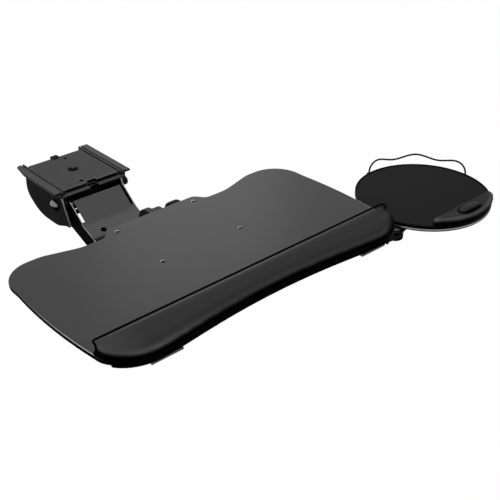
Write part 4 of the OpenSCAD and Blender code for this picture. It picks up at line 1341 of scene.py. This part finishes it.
@dataclass
class Stage:
    """The pale floor, the studio light and the camera.

    The floor throws light back as floor_grey. Where it is looked at, it glows white by the share floor_glow,
    and paper_grey shows the shadow. The lens and the sensor are in millimetres.
    """

    floor_z: float = -0.30
    floor_size: float = 6.0
    floor_grey: float = 0.20
    floor_glow: float = 0.99
    paper_grey: float = 0.95
    ambient: float = 0.08
    lens: float = 64.79
    sensor: float = 36.0
    camera_at: tuple[float, float, float] = (-0.67356, -1.19818, 0.65492)
    azimuth: float = math.radians(-41.64)
    elevation: float = math.radians(31.15)
    lights: tuple[Softbox, ...] = (
        Softbox("overhead_softbox", place=(0.05, 0.05, 1.9), target=(0.1, -0.30, 0.0), size=0.9, power=32.0),
        Softbox("rear_softbox", place=(0.60, 0.47, 0.60), target=(-0.01, -0.33, 0.0), size=0.5, power=2.2),
    )

    def build(self) -> None:
        """Sets the whole stage."""
        bpy.context.scene.view_settings.view_transform = "Standard"
        self._world()
        self._floor()
        for light in self.lights:
            light.build()
        self._camera()

    @staticmethod
    def _seen(shader: Shader) -> Socket:
        """Finds where the background is looked at, directly, in a reflection or through glass.

        Args:
            shader: the node tree in the making.

        Returns:
            1 where it is looked at, 0 for other light.
        """
        camera, glossy, through = (shader.node("LightPath", out=name) for name in (
            "Is Camera Ray", "Is Glossy Ray", "Is Transmission Ray"))
        return camera.larger(glossy).larger(through)

    def _world(self) -> None:
        """Makes the world white where it is looked at, and a dim even grey as light."""
        world = bpy.data.worlds.new("studio")
        world.use_nodes = True
        bpy.context.scene.world = world
        shader = Shader(world.node_tree, "OutputWorld")
        dim, white = (shader.node("Background", {}, {"Color": shade(WHITE), "Strength": strength})
                      for strength in (self.ambient, 1.0))
        shader.show(shader.blend(self._seen(shader), dim, white))

    def _floor(self) -> None:
        """Lays a white floor with a soft shadow that throws back little light and isn't seen from below."""
        bm = bmesh.new()
        bmesh.ops.create_grid(bm, x_segments=1, y_segments=1, size=self.floor_size)
        bmesh.ops.translate(bm, verts=bm.verts, vec=(0, 0, self.floor_z))
        mesh = bpy.data.meshes.new("floor")
        bm.to_mesh(mesh)
        bm.free()
        paint = bpy.data.materials.new("floor_paper")
        paint.use_nodes = True
        shader = Shader(paint.node_tree, "OutputMaterial")
        grey, paper = (shader.node("BsdfDiffuse", {}, {"Color": shade(WHITE, share)})
                       for share in (self.floor_grey, self.paper_grey))
        glow = shader.node("Emission", {}, {"Color": shade(WHITE), "Strength": 1.0})
        white = shader.blend(self.floor_glow, paper, glow)
        upper = shader.blend(self._seen(shader), grey, white)
        below = shader.node("NewGeometry", out="Backfacing")
        shader.show(shader.blend(below, upper, shader.node("BsdfTransparent")))
        mesh.materials.append(paint)
        link(bpy.data.objects.new("floor", mesh))

    def _camera(self) -> None:
        """Sets the camera at the photograph's viewing angle, with its lens."""
        data = bpy.data.cameras.new("camera")
        data.lens = self.lens
        data.sensor_width = self.sensor
        camera = link(bpy.data.objects.new("camera", data))
        camera.location = self.camera_at
        sin_a, cos_a = math.sin(self.azimuth), math.cos(self.azimuth)
        sin_e, cos_e = math.sin(self.elevation), math.cos(self.elevation)
        back = Vector((sin_a * cos_e, -cos_a * cos_e, sin_e))
        right = Vector((cos_a, sin_a, 0))
        turn = Matrix((right, back.cross(right), back)).transposed()
        camera.rotation_euler = turn.to_euler()
        bpy.context.scene.camera = camera


def assemblies() -> list[SubAssembly]:
    """Lists the pieces of each body.

    Returns:
        The tray's sub-assemblies, from the carriage to the mouse platform.
    """
    return [
        SubAssembly("carriage", (
            Eased("carriage_plate", Look.PLATE, width=0.6 * MM, segments=3),
            Eased("carriage_base", Look.PLATE),
            Eased("glide_left", Look.GLIDE, width=0.3 * MM),
            Eased("glide_right", Look.GLIDE, width=0.3 * MM),
            Eased("stop_bumper", Look.PLASTIC, width=0.6 * MM),
            # Painted shade: the bolt's dome is plate grey only at its top, black round it.
            Panel("swivel_bolt", Look.PLATE, width=0.3 * MM, sides=Look.SHADE_BLACK, upright=0.985),
        ), (
            (Look.STEEL, ("glide_rivets", "nut_washer", "swivel_nut")),
            (Look.NYLON, ("thrust_washer",)),
        )),
        LiftSpring("swivel", (
            CutSheet("swivel_bracket", Look.FRAME, width=0.5 * MM, rim_from=54.5 * MM),
            # Painted highlight and shade: the cap's upper half is bright metal, its lower half black.
            Panel("shaft_cap", Look.CAP_HIGHLIGHT, width=1.0 * MM, segments=4, sides=Look.SHADE_BLACK, upright=0.1),
        ), (
            (Look.STEEL, ("rear_shaft", "rear_link_pin")),
            (Look.NYLON, ("spring_sleeve", "pivot_washers")),
        )),
        SubAssembly("lock_knob", (Eased("lock_knob", Look.PLASTIC, width=0.2 * MM),)),
        SubAssembly("arm", (
            CutSheet("arm_plate_left", Look.ARM, rest=0.1),
            CutSheet("arm_plate_right", Look.ARM, rest=0.1),
            CutSheet("arm_cover", Look.COVER, width=0.5 * MM, segments=3,
                     rim_from=50 * MM, lies=True, rest=0.15),
        ), (
            (Look.ARM, ("arm_cross_bars",)),
        )),
        SubAssembly("link", (Eased("control_link", Look.FRAME),)),
        SubAssembly("head", (Eased("head_bracket", Look.PLATE),), (
            (Look.STEEL, ("front_shaft", "front_shaft_clips", "front_link_pin", "tilt_shaft")),
            (Look.NYLON, ("front_washers", "tilt_spacer")),
        )),
        SubAssembly("tilt_dial", (Eased("tilt_dial", Look.PLASTIC, width=0.3 * MM),)),
        BoardAndPalm("board", (
            Eased("tilt_plate", Look.PLATE),
            Board("board", Look.BOARD, width=1.1 * MM, segments=4),
            Eased("palm_base", Look.LIP),
            Eased("palm_clip_left", Look.GLOSS, width=0.6 * MM),
            Eased("palm_clip_right", Look.GLOSS, width=0.6 * MM),
            Eased("mouse_bracket", Look.BLACK),
        ), (
            (Look.STEEL, ("clip_screws", "bracket_screws", "swing_bolt")),
            (Look.SCREW, ("board_screws",)),
        )),
        SubAssembly("clamp_knob", (Eased("clamp_knob", Look.KNOB, width=0.3 * MM),)),
        SubAssembly("mouse_arm", (Eased("mouse_arm", Look.BLACK),)),
        MousePlatform("mouse_platform", (
            Tray("platform_tray", Look.KNOB, width=0.3 * MM, sides=Look.RIM),
            Eased("guard_sockets", Look.PLASTIC, width=0.3 * MM),
        ), (
            (Look.STEEL, ("platform_spindle", "spindle_clip")),
            (Look.NYLON, ("spindle_washer",)),
        )),
    ]


def main() -> None:
    """Builds the stage and every sub-assembly in order."""
    logging.basicConfig(level=logging.INFO, format="%(name)s: %(message)s")
    Stage().build()
    for part in assemblies():
        part.build()


if __name__ == "__main__":
    main()
